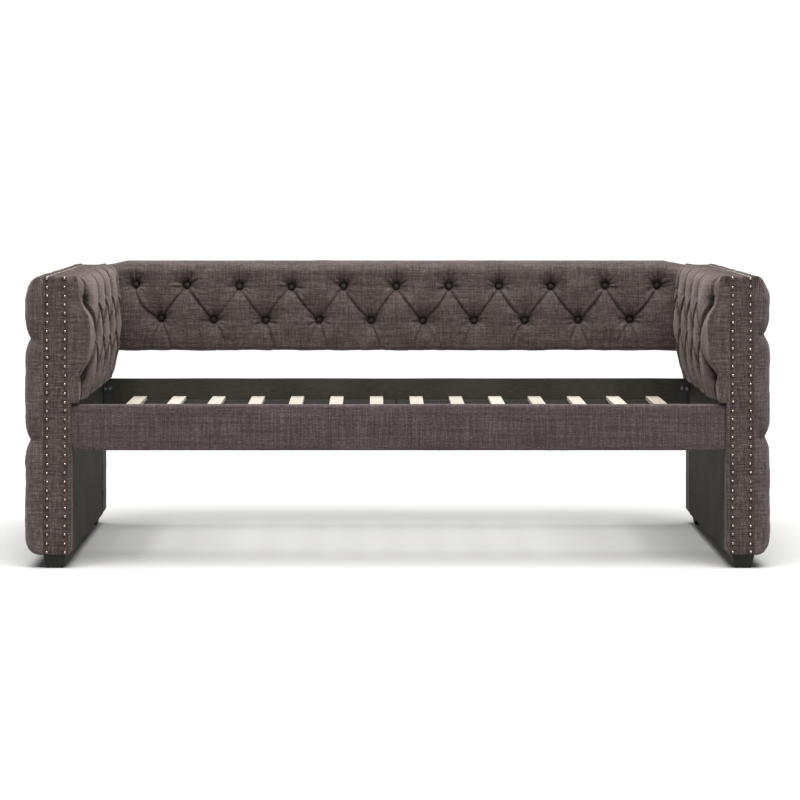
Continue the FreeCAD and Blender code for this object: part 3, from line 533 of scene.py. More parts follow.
def slab(U, V, W, cell, rads, depth_cells=None):
    """A lattice over the front and four sides of a slab U x V x W, the front
    edges rounded.  rads = (left, right, bottom, top, depth).  Returns lattice
    points before and after rounding, normals, unrolled cloth coordinates, the
    faces, and where each point lies in depth."""
    nu, nv = int(round(U / cell)), int(round(V / cell))
    nw = depth_cells or max(3, int(round(W / cell)))
    I, J = np.meshgrid(np.arange(nu + 1), np.arange(nv + 1), indexing="ij")
    u, v = I.ravel() * U / nu, J.ravel() * V / nv
    crest = np.stack([u, v, np.zeros_like(u)], 1)
    cid = lambda i, j: i * (nv + 1) + j
    ring = [(i, 0) for i in range(nu)] + [(nu, j) for j in range(nv)] + [(i, nv) for i in range(nu, 0, -1)] + [(0, j) for j in range(nv, 0, -1)]
    ring = np.array(ring)
    n_ring = len(ring)
    ru, rv = ring[:, 0] * U / nu, ring[:, 1] * V / nv
    pts, ab = [crest], [crest[:, :2].copy()]
    out = np.zeros((n_ring, 2))
    out[ring[:, 0] == 0, 0] = -1
    out[ring[:, 0] == nu, 0] = 1
    corner_or_side = (ring[:, 0] == 0) | (ring[:, 0] == nu)
    out[(ring[:, 1] == 0) & ~corner_or_side, 1] = -1
    out[(ring[:, 1] == nv) & ~corner_or_side, 1] = 1
    for k in range(1, nw + 1):
        w = W * k / nw
        pts.append(np.stack([ru, rv, np.full(n_ring, w)], 1))
        ab.append(np.stack([ru, rv], 1) + out * w)
    P0 = np.concatenate(pts)
    AB = np.concatenate(ab)
    first = (nu + 1) * (nv + 1)
    faces = []
    for i in range(nu):
        base = np.arange(nv) + i * (nv + 1)
        faces += np.stack([base, base + nv + 1, base + nv + 2, base + 1], 1).tolist()
    r0 = ring[:, 0] * (nv + 1) + ring[:, 1]
    prev = r0
    for k in range(1, nw + 1):
        cur = first + (k - 1) * n_ring + np.arange(n_ring)
        faces += np.stack([prev, cur, np.roll(cur, -1), np.roll(prev, -1)], 1).tolist()
        prev = cur
    faces.append(prev[::-1].tolist())
    rl, rr, rb, rt, rd = rads
    dl, dr, db_, dt = rd if isinstance(rd, tuple) else (rd, rd, rd, rd)
    c = P0.copy()
    c[:, 0] = np.clip(P0[:, 0], rl, U - rr)
    c[:, 1] = np.clip(P0[:, 1], rb, V - rt)
    R = np.empty_like(P0)
    R[:, 0] = np.where(P0[:, 0] < c[:, 0], rl, rr)
    R[:, 1] = np.where(P0[:, 1] < c[:, 1], rb, rt)
    wu = (np.abs(P0[:, 0] - c[:, 0]) / R[:, 0]) ** 2
    wv_ = (np.abs(P0[:, 1] - c[:, 1]) / R[:, 1]) ** 2
    deep_u = np.where(P0[:, 0] < c[:, 0], dl, dr)
    deep_v = np.where(P0[:, 1] < c[:, 1], db_, dt)
    tot = wu + wv_
    R[:, 2] = np.where(tot > 1e-9, (wu * deep_u + wv_ * deep_v) / np.maximum(tot, 1e-9), max(dl, dr, db_, dt))
    c[:, 2] = np.maximum(P0[:, 2], R[:, 2])
    d = P0 - c
    q = d / R
    pw = 2.0 + 26.0 * np.clip(P0[:, 2] / W, 0, 1) ** 1.6
    au, av = np.abs(q[:, 0]), np.abs(q[:, 1])
    m = (au ** pw + av ** pw) ** (1.0 / pw)
    ln = np.sqrt(m ** 2 + q[:, 2] ** 2)
    ln[ln < 1e-9] = 1
    q = q / ln[:, None]
    P = c + q * R
    N = q / R
    N /= np.maximum(np.linalg.norm(N, axis=1), 1e-9)[:, None]
    return P0, P, N, AB, faces


def finish_pad(name, P, faces, AB, to_world, material, replaced, flip, U, V, W, shade=None):
    """Turns the pad's own frame into the row frame and makes the piece."""
    world = to_world(P)
    if flip:
        faces = [f[::-1] for f in faces]
    lo, hi = np.array([-W, -W]), np.array([U + W, V + W])
    uv = (AB - lo) / (hi - lo) * 0.98 + 0.01
    ob = new_mesh(name, world, faces, material, cloth=AB, uv=uv, shade=shade)
    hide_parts(*replaced)
    return ob


def buttons_mesh(name, places, frame_fn, flip, seed, replaced):
    """Covered buttons: a domed cap with gathers at its rim.  places are
    (a, b, depth of the base); frame_fn takes pad coordinates to the row."""
    rng = np.random.RandomState(seed)
    prof = [(0.0, 8.0), (2.8, 7.8), (5.2, 7.0), (7.4, 5.7), (9.0, 4.0), (10.0, 2.2), (10.3, 0.9), (9.6, 0.0)]
    seg = 28
    verts, faces = [], []
    for (a, b, w) in places:
        base = len(verts)
        ph, tilt = rng.uniform(0, 6.28), rng.uniform(-0.05, 0.05, 2)
        verts.append((a, b, w - prof[0][1]))
        for r, h in prof[1:]:
            for k in range(seg):
                t = 2 * math.pi * k / seg
                edge = (r / 10.3) ** 3
                rr = r * (1 + 0.018 * edge * math.sin(14 * t + ph))
                hh = h + 0.22 * edge * math.sin(14 * t + ph)
                x, y = rr * math.cos(t), rr * math.sin(t)
                verts.append((a + x, b + y, w - hh + tilt[0] * x + tilt[1] * y))
        n = len(prof) - 1
        for k in range(seg):
            faces.append([base, base + 1 + k, base + 1 + (k + 1) % seg])
            for i in range(n - 1):
                p = base + 1 + i * seg
                faces.append([p + k, p + seg + k, p + seg + (k + 1) % seg, p + (k + 1) % seg])
        last = base + 1 + (n - 1) * seg
        faces.append([last + k for k in range(seg)][::-1])
    P = np.array(verts)
    # outward is toward smaller depth, so the winding is set per pad by flip
    if flip:
        faces = [f[::-1] for f in faces]
    ob = new_mesh(name, frame_fn(P), faces, M_button_shaded)
    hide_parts(*replaced)
    return ob


def snap_to_folds(AB, N_crest, pleats, cell):
    """Moves lattice points lying next to a fold line onto it, so that the
    fold is one clean edge and not a stair."""
    a, b = AB[:, 0].copy(), AB[:, 1].copy()
    da, db = np.zeros_like(a), np.zeros_like(b)
    for pl in pleats:
        lo, hi = pl.pts.min(0) - cell, pl.pts.max(0) + cell
        idx = np.nonzero((a > lo[0]) & (a < hi[0]) & (b > lo[1]) & (b < hi[1]))[0]
        if not len(idx):
            continue
        d, sg, s, nx, ny = pl.measure(a[idx], b[idx])
        near = (d < 0.52 * cell) & (s > 0.0) & (s < 1.0)
        i2 = idx[near]
        da[i2] = -(nx * sg * d)[near]
        db[i2] = -(ny * sg * d)[near]
    return da, db


def shape_pad(U, V, W, cell, rads, buttons, pleats, seed, crown=None, body_noise=1.0, pucker=1.0, hold=0.0, pull=False):
    """The whole pad in its own frame: rounded slab, crown, folds, wells, and the painted shade of the folds and wells.
    """
    P0, P, N, AB, faces = slab(U, V, W, cell, rads)
    a, b, w = AB[:, 0], AB[:, 1], P0[:, 2]
    da, db = snap_to_folds(AB, N, pleats, cell)
    on_front = w < 1e-6
    inner = on_front & (P0[:, 0] > 0.1) & (P0[:, 0] < U - 0.1) & (P0[:, 1] > 0.1) & (P0[:, 1] < V - 0.1)
    da, db = np.where(inner, da, 0), np.where(inner, db, 0)
    a, b = a + da, b + db
    P[:, 0] += da
    P[:, 1] += db
    left = np.clip(1 - w / W, 0, 1)
    if crown is not None:
        P[:, 2] += crown(a, b) * (left if not pull else np.clip(1 - P[:, 2] / W, 0, 1))
    dep, sa, sb, shade = fold_field(a, b, buttons, pleats, seed, pucker)
    if pull:
        # folds run out at the front edge and do not cross the front face; deep valleys get painted shade, darker the
        # deeper they are
        fade = np.where(a < 0, np.exp(a / 6.0), 1.0)
        low = np.clip((dep - 8.0) / 9.0, 0, 1) ** 1.3 * 0.88
        dep, shade = dep * fade, np.maximum(shade, low) * fade
    soft = Waves(seed + 5, 95.0)(a, b) * 1.1 + Waves(seed + 6, 38.0)(a, b) * 0.35
    dep = dep + soft * body_noise
    # near the groove the cloth is held to the frame, so folds stay shallow
    rest = np.maximum(W - w - hold, 0)
    k = np.clip(rest / 14.0, 0, 1)
    dep = np.where(dep > 0, np.minimum(dep, 3.0 + 0.9 * rest), dep)
    P -= N * (dep * k)[:, None]
    front = np.clip(-N[:, 2], 0, 1)
    P[:, 0] += sa * front * k
    P[:, 1] += sb * front * k
    # the painted shade fades out where the cloth is held to the frame
    return P, faces, AB, N, w, shade * np.clip(rest / 6.0, 0, 1)


# ------------------------------------------------------------------ back pad
rng = np.random.RandomState(11)
blo, bhi = node_box("back_cover")
U, V, W = bhi[0] - blo[0], bhi[2] - blo[2], bhi[1] - blo[1] + 0.4
bx0, bz0, by0 = blo[0], blo[2], blo[1]


def back_world(P):
    return np.stack([P[:, 0] + bx0, P[:, 2] + by0, P[:, 1] + bz0], 1)


row1_x = [-876, -704, -527, -352, -177, 0, 177, 345, 520, 702, 877]
row2_x = [-790, -614, -439, -259, -84, 90, 261, 432, 611, 786]
row1 = [(x - bx0, 803.0 - bz0 + dz) for x, dz in zip(row1_x, (6, 4, 0, -1, 1, 0, 0, 1, 0, 2, 3))]
row2 = [(x - bx0, 689.5 - bz0 + dz) for x, dz in zip(row2_x, (7, 2, 0, 1, 0, -1, 0, 0, 2, 2))]
back_buttons = [(a, b, 33.0, 19.0) for a, b in row1 + row2]
pleats = []
for i, (a, b) in enumerate(row1):
    pleats.append(Pleat((a, b), (a + rng.uniform(-5, 5), V + 40), 5.0, 20, bow=rng.uniform(-2, 2),
                        side=1 if rng.rand() < 0.5 else -1, wide=17, open_end=True, end=3.6, phase=rng.uniform(0, 6)))
for i, (a, b) in enumerate(row2):
    for j, sgn in ((i, -1), (i + 1, 1)):
        ta, tb = row1[j]
        if sgn < 0:      # fold falling to the right: the dark, bowed ones
            bow = rng.uniform(3, 9) if i else 22.0
            pleats.append(Pleat((ta, tb), (a, b), rng.uniform(8.0, 10.5), 22, bow=-bow, side=1, wide=22, phase=rng.uniform(0, 6)))
        else:
            bow = (-2, 3, -8, -3, 0, 9, 3, 0, 7, 8)[i]
            deepm = (7, 4.5, 6, 6.5, 7, 8.5, 7.5, 7, 8.5, 9)[i]
            pleats.append(Pleat((ta, tb), (a, b), deepm, 21, bow=bow, side=-1, wide=21, phase=rng.uniform(0, 6)))
    s = rng.uniform(0.85, 1.15)
    mirrored = i >= 6
    k = -1 if mirrored else 1
    far = (a + k * 38 * s, rng.choice([-30, 8, 26]))
    pleats.append(Pleat((a, b), far, rng.uniform(4.6, 7.2), 18, bow=k * rng.uniform(2, 7), side=k, wide=16, open_end=True, end=2.4, phase=rng.uniform(0, 6), dark=3.0))
    if i in (0, 3, 5, 8, 9):
        far = (a - k * rng.uniform(34, 48), rng.choice([-30, 14]))
        pleats.append(Pleat((a, b), far, rng.uniform(3.4, 5.6), 15, bow=-k * rng.uniform(2, 6), side=-k, wide=15, open_end=True, end=1.8, phase=rng.uniform(0, 6), dark=2.6))
# the cloth is drawn round the ends from the outermost buttons
for (a, b), tip in ((row1[0], (-20, V - 62)), (row1[-1], (U + 20, V - 60))):
    for k, dz in enumerate((-10, 8, 26)):
        pleats.append(Pleat((a, b), (tip[0], tip[1] + dz), 2.6, 12, bow=rng.uniform(-4, 4), side=1 if k % 2 else -1, wide=9, open_end=True, end=0.6))


def back_crown(a, b):
    ends = np.clip(1 - np.minimum(a, U - a) / 60.0, 0, 1)
    t = (b - 150.0) / 150.0
    return np.where(t > 0, 7.0 * np.maximum(t, 0) ** 2.4, 12.0 * np.maximum(-t, 0) ** 2.6) + 6.0 * ends ** 2


CELL = 3.15
P, faces, AB, N, w, shade = shape_pad(U, V, W, CELL, (16, 16, 12, 40, 34), back_buttons, pleats, 21, crown=back_crown, body_noise=0.9, pucker=1.25)
# the ends of the top roll drop where they meet the arms
end = np.maximum(0, 76.0 - np.minimum(P[:, 0], U - P[:, 0])) * 0.2
P[:, 1] -= end * np.clip((P[:, 1] - (V - 90)) / 70.0, 0, 1)
# over the frame the cloth is pulled flat and stays outside it
deep = P[:, 2] > 44.0
P[:, 1] = np.where(deep & (P[:, 1] > V - 34.0), np.maximum(P[:, 1], V - end - 1.2), P[:, 1])
P[:, 1] = np.where(deep & (P[:, 1] < 12.0), np.minimum(P[:, 1], 1.4), P[:, 1])
P[:, 0] = np.where(deep & (P[:, 0] < 12.0), np.minimum(P[:, 0], 1.4), P[:, 0])
P[:, 0] = np.where(deep & (P[:, 0] > U - 12.0), np.maximum(P[:, 0], U - 1.4), P[:, 0])
back = finish_pad("back_upholstery", P, faces, AB, back_world, M_cloth, ["back_cover", "back_foam"], False, U, V, W, shade=shade)
buttons_mesh("back_covered_buttons", [(a, b, 30.0) for a, b in row1 + row2], back_world, True, 3, ["back_buttons"])


# ------------------------------------------------------------------ arms
def arm(side, seed):
    s = 1 if side == "right" else -1
    rng = np.random.RandomState(seed)

    # inner pad
    lo, hi = node_box("right_arm_inner_cover")
    face_x, groove_x = lo[0], hi[0]
    y0, z0 = lo[1], lo[2]
    U, V, W = hi[1] - lo[1], hi[2] - lo[2], groove_x - face_x

    def world(P):
        return np.stack([s * (face_x + P[:, 2]), P[:, 0] + y0, P[:, 1] + z0], 1)

    col1 = [-480 - y0] + [-435 - y0 + 208 * i for i in range(1, 5)]
    col2 = [-331 - y0 + 208 * i for i in range(4)]
    j = lambda: rng.uniform(-3, 3)
    r1 = [(c + j(), 800 - z0 + j()) for c in col1]
    r2 = [(c + j(), 688 - z0 + j()) for c in col2]
    r3 = [(c + j(), 574 - z0 + j()) for c in col1]
    ghost2 = (501 - y0, 688 - z0)          # the row runs on behind the back panel
    btn = [(a, b, 36.0 if (a, b) != r3[0] or s < 0 else 22.0, 18.0) for a, b in r1 + r2 + r3]
    pl = []
    ph = lambda: rng.uniform(0, 6)
    for a, b in r1:
        pl.append(Pleat((a, b), (a + rng.uniform(-5, 5), V + 60), 15.0, 28, bow=rng.uniform(-3, 3), side=-1, wide=32, open_end=True, end=8.0, phase=ph(), dark=5.0))
    for a, b in r3:
        pl.append(Pleat((a, b), (a + rng.uniform(-6, 6), -50), 14.0, 28, bow=rng.uniform(-3, 3), side=1, wide=32, open_end=True, end=7.0, phase=ph(), dark=5.0))
    rows2 = r2 + [ghost2]
    for i, (a, b) in enumerate(rows2):
        for (ta, tb), up in ((r1[i], 1), (r3[i], 1)):
            down = tb > b
            pl.append(Pleat((ta, tb), (a, b), rng.uniform(19, 23) if down else rng.uniform(13, 17), 34, bow=rng.uniform(-10, 4) if down else rng.uniform(-6, 6),
                            side=1 if down else -1, wide=34, phase=ph(), dark=5.0))
        if i + 1 < len(r1):
            for (ta, tb) in (r1[i + 1], r3[i + 1]):
                down = tb < b
                pl.append(Pleat((a, b), (ta, tb), rng.uniform(19, 23) if down else rng.uniform(13, 17), 34, bow=rng.uniform(-10, 4) if down else rng.uniform(-6, 6),
                                side=1 if down else -1, wide=34, phase=ph(), dark=5.0))
    # across the front roll from the first buttons
    pl.append(Pleat(r1[0], (-60, r1[0][1] + 4), 5.0, 22, bow=5, side=1, wide=30, open_end=True, end=2.0, phase=ph(), even=True))
    pl.append(Pleat(r3[0], (-60, r3[0][1] - 6), 9.0 if s < 0 else 6.0, 25, bow=-5, side=-1, wide=30, open_end=True, end=5.0 if s < 0 else 3.0, phase=ph(), dark=9.0, even=True))

    edge_z = [470, 515, 540, 563, 583, 600, 614, 632, 656, 688, 717, 740, 761, 778, 797, 814, 830, 850, 900]
    edge_x = [956, 955, 955, 956, 951.5, 944.5, 937, 931, 928.5, 925, 923, 923.5, 928, 937.5, 947.5, 953, 955, 957, 958]

    def crown(a, b):
        """Barrel across the height, and at the front edge the line that the
        first buttons pull it to."""
        bb = b + z0
        t = np.abs((bb - 705.0) / 172.0)
        loss = 23.0 * np.minimum(t, 1.15) ** 2.6 - 6.0
        line = np.interp(bb, edge_z, edge_x) - face_x
        e = np.exp(-(np.maximum(a, 0) / 32.0) ** 2.0)
        behind = 8.0 * np.exp(-((a - 50.0) / 45.0) ** 2)
        if s > 0:
            loss = loss + 8.0 * np.clip((a - 250.0) / 450.0, 0, 1)
        return (loss + behind) * (1 - e) + line * e

    P, faces, AB, N, w, shade = shape_pad(U, V, W, CELL, (9, 8, 9, 32, (8, 20, 16, 24)), btn, pl, seed + 1, crown=crown, body_noise=1.0, pull=True)
    # nothing sinks behind the face of the frame
    deep = face_x + P[:, 2] > 975.5
    P[:, 0] = np.where(deep & (P[:, 0] < 30), np.minimum(P[:, 0], 3.4), P[:, 0])
    P[:, 1] = np.where(deep & (P[:, 1] > V - 30), np.maximum(P[:, 1], V - 2.6), P[:, 1])
    ob = finish_pad(side + "_arm_inner_upholstery", P, faces, AB, world, M_cloth_side,
                    [side + "_arm_inner_cover", side + "_arm_inner_foam"], s < 0, U, V, W, shade=shade)
    buttons_mesh(side + "_arm_inner_covered_buttons", [(a, b, 36.0 if (a, b) != r3[0] or s < 0 else 30.0) for a, b in r1 + r2 + r3], world, s > 0, seed + 2,
                 [side + "_arm_inner_buttons"])

    # outer pad
    lo, hi = node_box("right_arm_outer_cover")
    face2 = hi[0]
    U2, V2, W2 = hi[1] - lo[1], hi[2] - lo[2], hi[0] - lo[0]
    yy, zz = lo[1], lo[2]

    def world2(P):
        return np.stack([s * (face2 - P[:, 2]), P[:, 0] + yy, P[:, 1] + zz], 1)

    c1 = [-416 - yy + 208 * i for i in range(5)]
    c2 = [-312 - yy + 208 * i for i in range(4)]
    q1 = [(c + j(), (701 if s > 0 else 686) - zz + 0.6 * j()) for c in c1]
    q2 = [(c + j(), 540 - zz + j()) for c in c2]
    q3 = [(c + j(), (391 if s > 0 else 381) - zz + 0.6 * j()) for c in c1]
    q4 = [(c + j(), 230 - zz + j()) for c in c2]
    btn = [(a, b, 22.0, 17.0) for a, b in q1 + q2 + q3 + q4]
    pl = []
    for up, dn in ((q1, q2), (q3, q2), (q3, q4)):
        for i, (a, b) in enumerate(dn):
            pl.append(Pleat(up[i], (a, b), rng.uniform(6, 9), 19, bow=rng.uniform(-8, 8), side=1 if up[i][1] > b else -1, wide=26, phase=ph()))
            pl.append(Pleat((a, b), up[i + 1], rng.uniform(6, 9), 19, bow=rng.uniform(-8, 8), side=-1 if up[i][1] > b else 1, wide=26, phase=ph()))
    for a, b in q1:
        pl.append(Pleat((a, b), (a + rng.uniform(-6, 6), V2 + 50), 5.0, 18, bow=rng.uniform(-4, 4), side=s, wide=22, open_end=True, end=3.5, phase=ph()))
    for a, b in q4:
        pl.append(Pleat((a, b), (a + rng.uniform(-10, 10), -40), 4.5, 16, bow=rng.uniform(-4, 4), side=-s, wide=20, open_end=True, end=2.5, phase=ph()))
    for (a, b), dz, en in ((q1[0], 0, 16.0), (q3[0], 2, 13.0)):
        pl.append(Pleat((a, b), (-60, b + dz), en, 20, bow=rng.uniform(-2, 2), side=1, wide=23, open_end=True, end=en, phase=ph(), dark=2.0, even=True))
    for (a, b), dz in ((q1[-1], 0), (q3[-1], 2)):
        pl.append(Pleat((a, b), (U2 + 60, b + dz), 13.0, 20, bow=rng.uniform(-2, 2), side=1, wide=23, open_end=True, end=13.0, phase=ph(), dark=2.0, even=True))

    def crown2(a, b):
        return np.full_like(a, 0.5 if s > 0 else -7.0)

    P, faces, AB, N, w, shade = shape_pad(U2, V2, W2, CELL * 1.45, (34, 34, 46, 74 if s < 0 else 82, (42, 42, 42, 50)), btn, pl, seed + 3, crown=crown2, body_noise=1.0, pucker=0.8)
    deep = face2 - P[:, 2] < 1079.0
    P[:, 0] = np.where(deep & (P[:, 0] < 40), np.minimum(P[:, 0], 3.6), P[:, 0])
    P[:, 0] = np.where(deep & (P[:, 0] > U2 - 40), np.maximum(P[:, 0], U2 - 3.6), P[:, 0])
    P[:, 1] = np.where(deep & (P[:, 1] > V2 - 40), np.maximum(P[:, 1], V2 - 3.6), P[:, 1])
    finish_pad(side + "_arm_outer_upholstery", P, faces, AB, world2, M_cloth,
               [side + "_arm_outer_cover", side + "_arm_outer_foam"], s > 0, U2, V2, W2, shade=shade)
    buttons_mesh(side + "_arm_outer_covered_buttons", [(a, b, 24.0) for a, b in q1 + q2 + q3 + q4], world2, s < 0, seed + 4,
                 [side + "_arm_outer_buttons"])


arm("left", 101)
arm("right", 202)


# ------------------------------------------------------------------ trim band and nails
def strip(side, seed):
    """The flat band up the front, over the top and down the rear of an arm,
    with a turned edge along each side."""
    s = 1 if side == "right" else -1
    lo, hi = node_box("right_arm_trim_band")
    x0, x1 = lo[0], hi[0]
    y0, y1, zb, zt = lo[1], hi[1], lo[2], hi[2]
    wv = Waves(seed, 70.0)
    path = []
    r = 5.5
    step = 3.2
    for z in np.arange(zb, zt - r, step):
        path.append((y0, z, 0.0, -1.0, 0.0))
    for t in np.linspace(0, math.pi / 2, 6):
        path.append((y0 + r - r * math.cos(t), zt - r + r * math.sin(t), 0, -math.cos(t), math.sin(t)))
    for y in np.arange(y0 + r + step, y1 - r, step):
        path.append((y, zt, 0, 0.0, 1.0))
    for t in np.linspace(0, math.pi / 2, 6):
        path.append((y1 - r + r * math.sin(t), zt - r + r * math.cos(t), 0, math.sin(t), math.cos(t)))
    for z in np.arange(zt - r - step, zb, -step):
        path.append((y1, z, 0, 1.0, 0.0))
    path.append((y1, zb, 0, 1.0, 0.0))
    # cross-section: turned edges stand a touch proud of the flat middle
    wdt = x1 - x0
    sec = [(0.6, -3.5), (0.0, -1.0), (0.5, 1.0), (2.0, 2.2), (3.8, 2.3), (5.2, 1.1), (6.4, 0.3), (8.5, 0.1)]
    nmid = 9
    mid = [(8.5 + (wdt - 17) * k / (nmid + 1), 0.15 * math.sin(math.pi * k / (nmid + 1))) for k in range(1, nmid + 1)]
    full = sec + mid + [(wdt - x, h) for x, h in sec[::-1]]
    back_sec = [(wdt - 6, -3.8), (6, -3.8)]
    loop = full + back_sec
    verts, cloth, shade = [], [], []
    length = 0.0
    prev = None
    heads = [(xx, 48.0 + 26.5 * i) for xx in (1000.5, 1054.0) for i in range(32)]
    hx, hz = np.array([h[0] for h in heads]), np.array([h[1] for h in heads])
    for (y, z, _, ny, nz) in path:
        if prev is not None:
            length += math.hypot(y - prev[0], z - prev[1])
        prev = (y, z)
        for (x, h) in loop:
            hh = h + (0.35 * float(wv(np.array([x * 2.0]), np.array([length]))[0]) if h > -3 else 0)
            dim = 0.0
            # painted shadow: a dark ring round each nail head on the front, set a little below it
            if ny < -0.9 and h > -3:
                dd = np.hypot(hx - (x0 + x) - 1.6 * s, hz - z - 2.2).min()
                dim = 0.80 * math.exp(-(max(dd - 3.5, 0) / 3.2) ** 1.6)
                hh -= 0.9 * math.exp(-(dd / 6.5) ** 2)
            if h > -3 and (x < 5.6 or x > wdt - 5.6):
                dim = max(dim, 0.0)
            # painted shade: a dark line along both edges of the band, where it meets the grooves
            if x < 0.3 or x > wdt - 0.3:
                dim = max(dim, 0.9)
            verts.append((s * (x0 + x), y + ny * hh, z + nz * hh))
            cloth.append((x0 + x, length))
            shade.append(dim)
    n = len(loop)
    faces = []
    for i in range(len(path) - 1):
        for k in range(n):
            a, b = i * n + k, i * n + (k + 1) % n
            faces.append([a, b, b + n, a + n])
    faces.append(list(range(n))[::-1])
    faces.append([(len(path) - 1) * n + k for k in range(n)])
    if s < 0:
        faces = [f[::-1] for f in faces]
    ob = new_mesh(side + "_arm_trim_strip", verts, faces, M_cloth_trim, cloth=cloth, shade=shade)
    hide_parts(side + "_arm_trim_band")


def nails(side, seed):
    """Domed heads in two lines up the front and back along the top."""
    s = 1 if side == "right" else -1
    rng = np.random.RandomState(seed)
    lo, hi = node_box("right_arm_trim_band")
    face_y, top_z = lo[1], hi[2]
    prof = [(0.0, 3.1), (1.3, 2.95), (2.5, 2.5), (3.6, 1.7), (4.2, 0.8), (4.5, 0.0), (4.2, -0.8)]
    seg = 18
    verts, faces = [], []

    def head(c, t1, t2, nrm):
        base = len(verts)
        til = rng.uniform(-0.10, 0.10, 2)
        for r, h in prof:
            for k in range(1 if r == 0 else seg):
                t = 2 * math.pi * k / seg
                x, y = r * math.cos(t), r * math.sin(t)
                hh = h + til[0] * x + til[1] * y
                verts.append(tuple(c[i] + t1[i] * x + t2[i] * y + nrm[i] * hh for i in range(3)))
        for k in range(seg):
            faces.append([base, base + 1 + k, base + 1 + (k + 1) % seg])
            for i in range(len(prof) - 2):
                p = base + 1 + i * seg
                faces.append([p + k, p + seg + k, p + seg + (k + 1) % seg, p + (k + 1) % seg])
        last = base + 1 + (len(prof) - 2) * seg
        faces.append([last + k for k in range(seg)][::-1])

    for x in (1000.5, 1054.0):
        for i in range(32):
            jx, jz = rng.uniform(-1.0, 1.0), rng.uniform(-1.4, 1.4)
            head((s * (x + jx), face_y + 0.1, 48.0 + 26.5 * i + jz), (-1, 0, 0), (0, 0, 1), (0, -1, 0))
        for i in range(40):
            jx, jy = rng.uniform(-1.0, 1.0), rng.uniform(-1.4, 1.4)
            head((s * (x + jx), -527 + 26.5 * i + jy, top_z - 1.5), (1, 0, 0), (0, 1, 0), (0, 0, 1))
    ob = new_mesh(side + "_arm_nail_trim", verts, faces, M_nail)
    outward(ob)
    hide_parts(side + "_arm_nailheads")


for side, seed in (("left", 5), ("right", 9)):
    strip(side, seed)
    nails(side, seed + 30)


# ------------------------------------------------------------------ inner side of the arms
def swept(name, sections, material, cloth=None, closed_ends=True, flip=False, replaced=None, shade=None):
    """A skin through equal closed sections (lists of row-frame points)."""
    n = len(sections[0])
    verts = [p for sec in sections for p in sec]
    faces = []
    for i in range(len(sections) - 1):
        for k in range(n):
            a, b = i * n + k, i * n + (k + 1) % n
            faces.append([a, b, b + n, a + n])
    faces.append(list(range(n))[::-1])
    faces.append([(len(sections) - 1) * n + k for k in range(n)])
    if flip:
        faces = [f[::-1] for f in faces]
    return new_mesh(name, verts, faces, material, cloth=cloth, shade=shade)


def lower_panel(side):
    """Black cloth over the inner side below the pad, carried round under the
    bottom edge in a tight turn."""
    s = 1 if side == "right" else -1
    wv = Waves(40 + s, 240.0)
    R = 2.6
    low = 40.4
    prof = []                                # (x, z), from the top down, outside
    for z in np.linspace(498, low + R, 60):
        prof.append((983.2, z))
    for t in np.linspace(0, math.pi / 2, 9)[1:]:
        prof.append((983.2 + R - R * math.cos(t), low + R - R * math.sin(t)))
    prof.append((1010.0, low))
    inner = [(1010.0, low + 1.2)] + [(983.2 + R - (R - 1.2) * math.cos(t), low + R - (R - 1.2) * math.sin(t)) for t in np.linspace(math.pi / 2, 0, 5)] + [(984.4, z) for z in np.linspace(70, 498, 8)]
    secs, cloth = [], []
    run = [0.0]
    loop = prof + inner
    for p, q in zip(loop, loop[1:]):
        run.append(run[-1] + math.hypot(q[0] - p[0], q[1] - p[1]))
    for y in np.linspace(-497, 442, 120):
        sec = []
        for k, (x, z) in enumerate(loop):
            dx = 0.0
            if k < 60:
                dx = 0.35 * float(wv(np.array([y * 1.0]), np.array([z * 0.5]))[0])
            sec.append((s * (x + dx), y, z))
            cloth.append((y, run[k]))
        secs.append(sec)
    ob = swept(side + "_arm_lower_cloth", secs, M_black_cloth, cloth=cloth, flip=s < 0)
    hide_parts(side + "_arm_lower_panel")


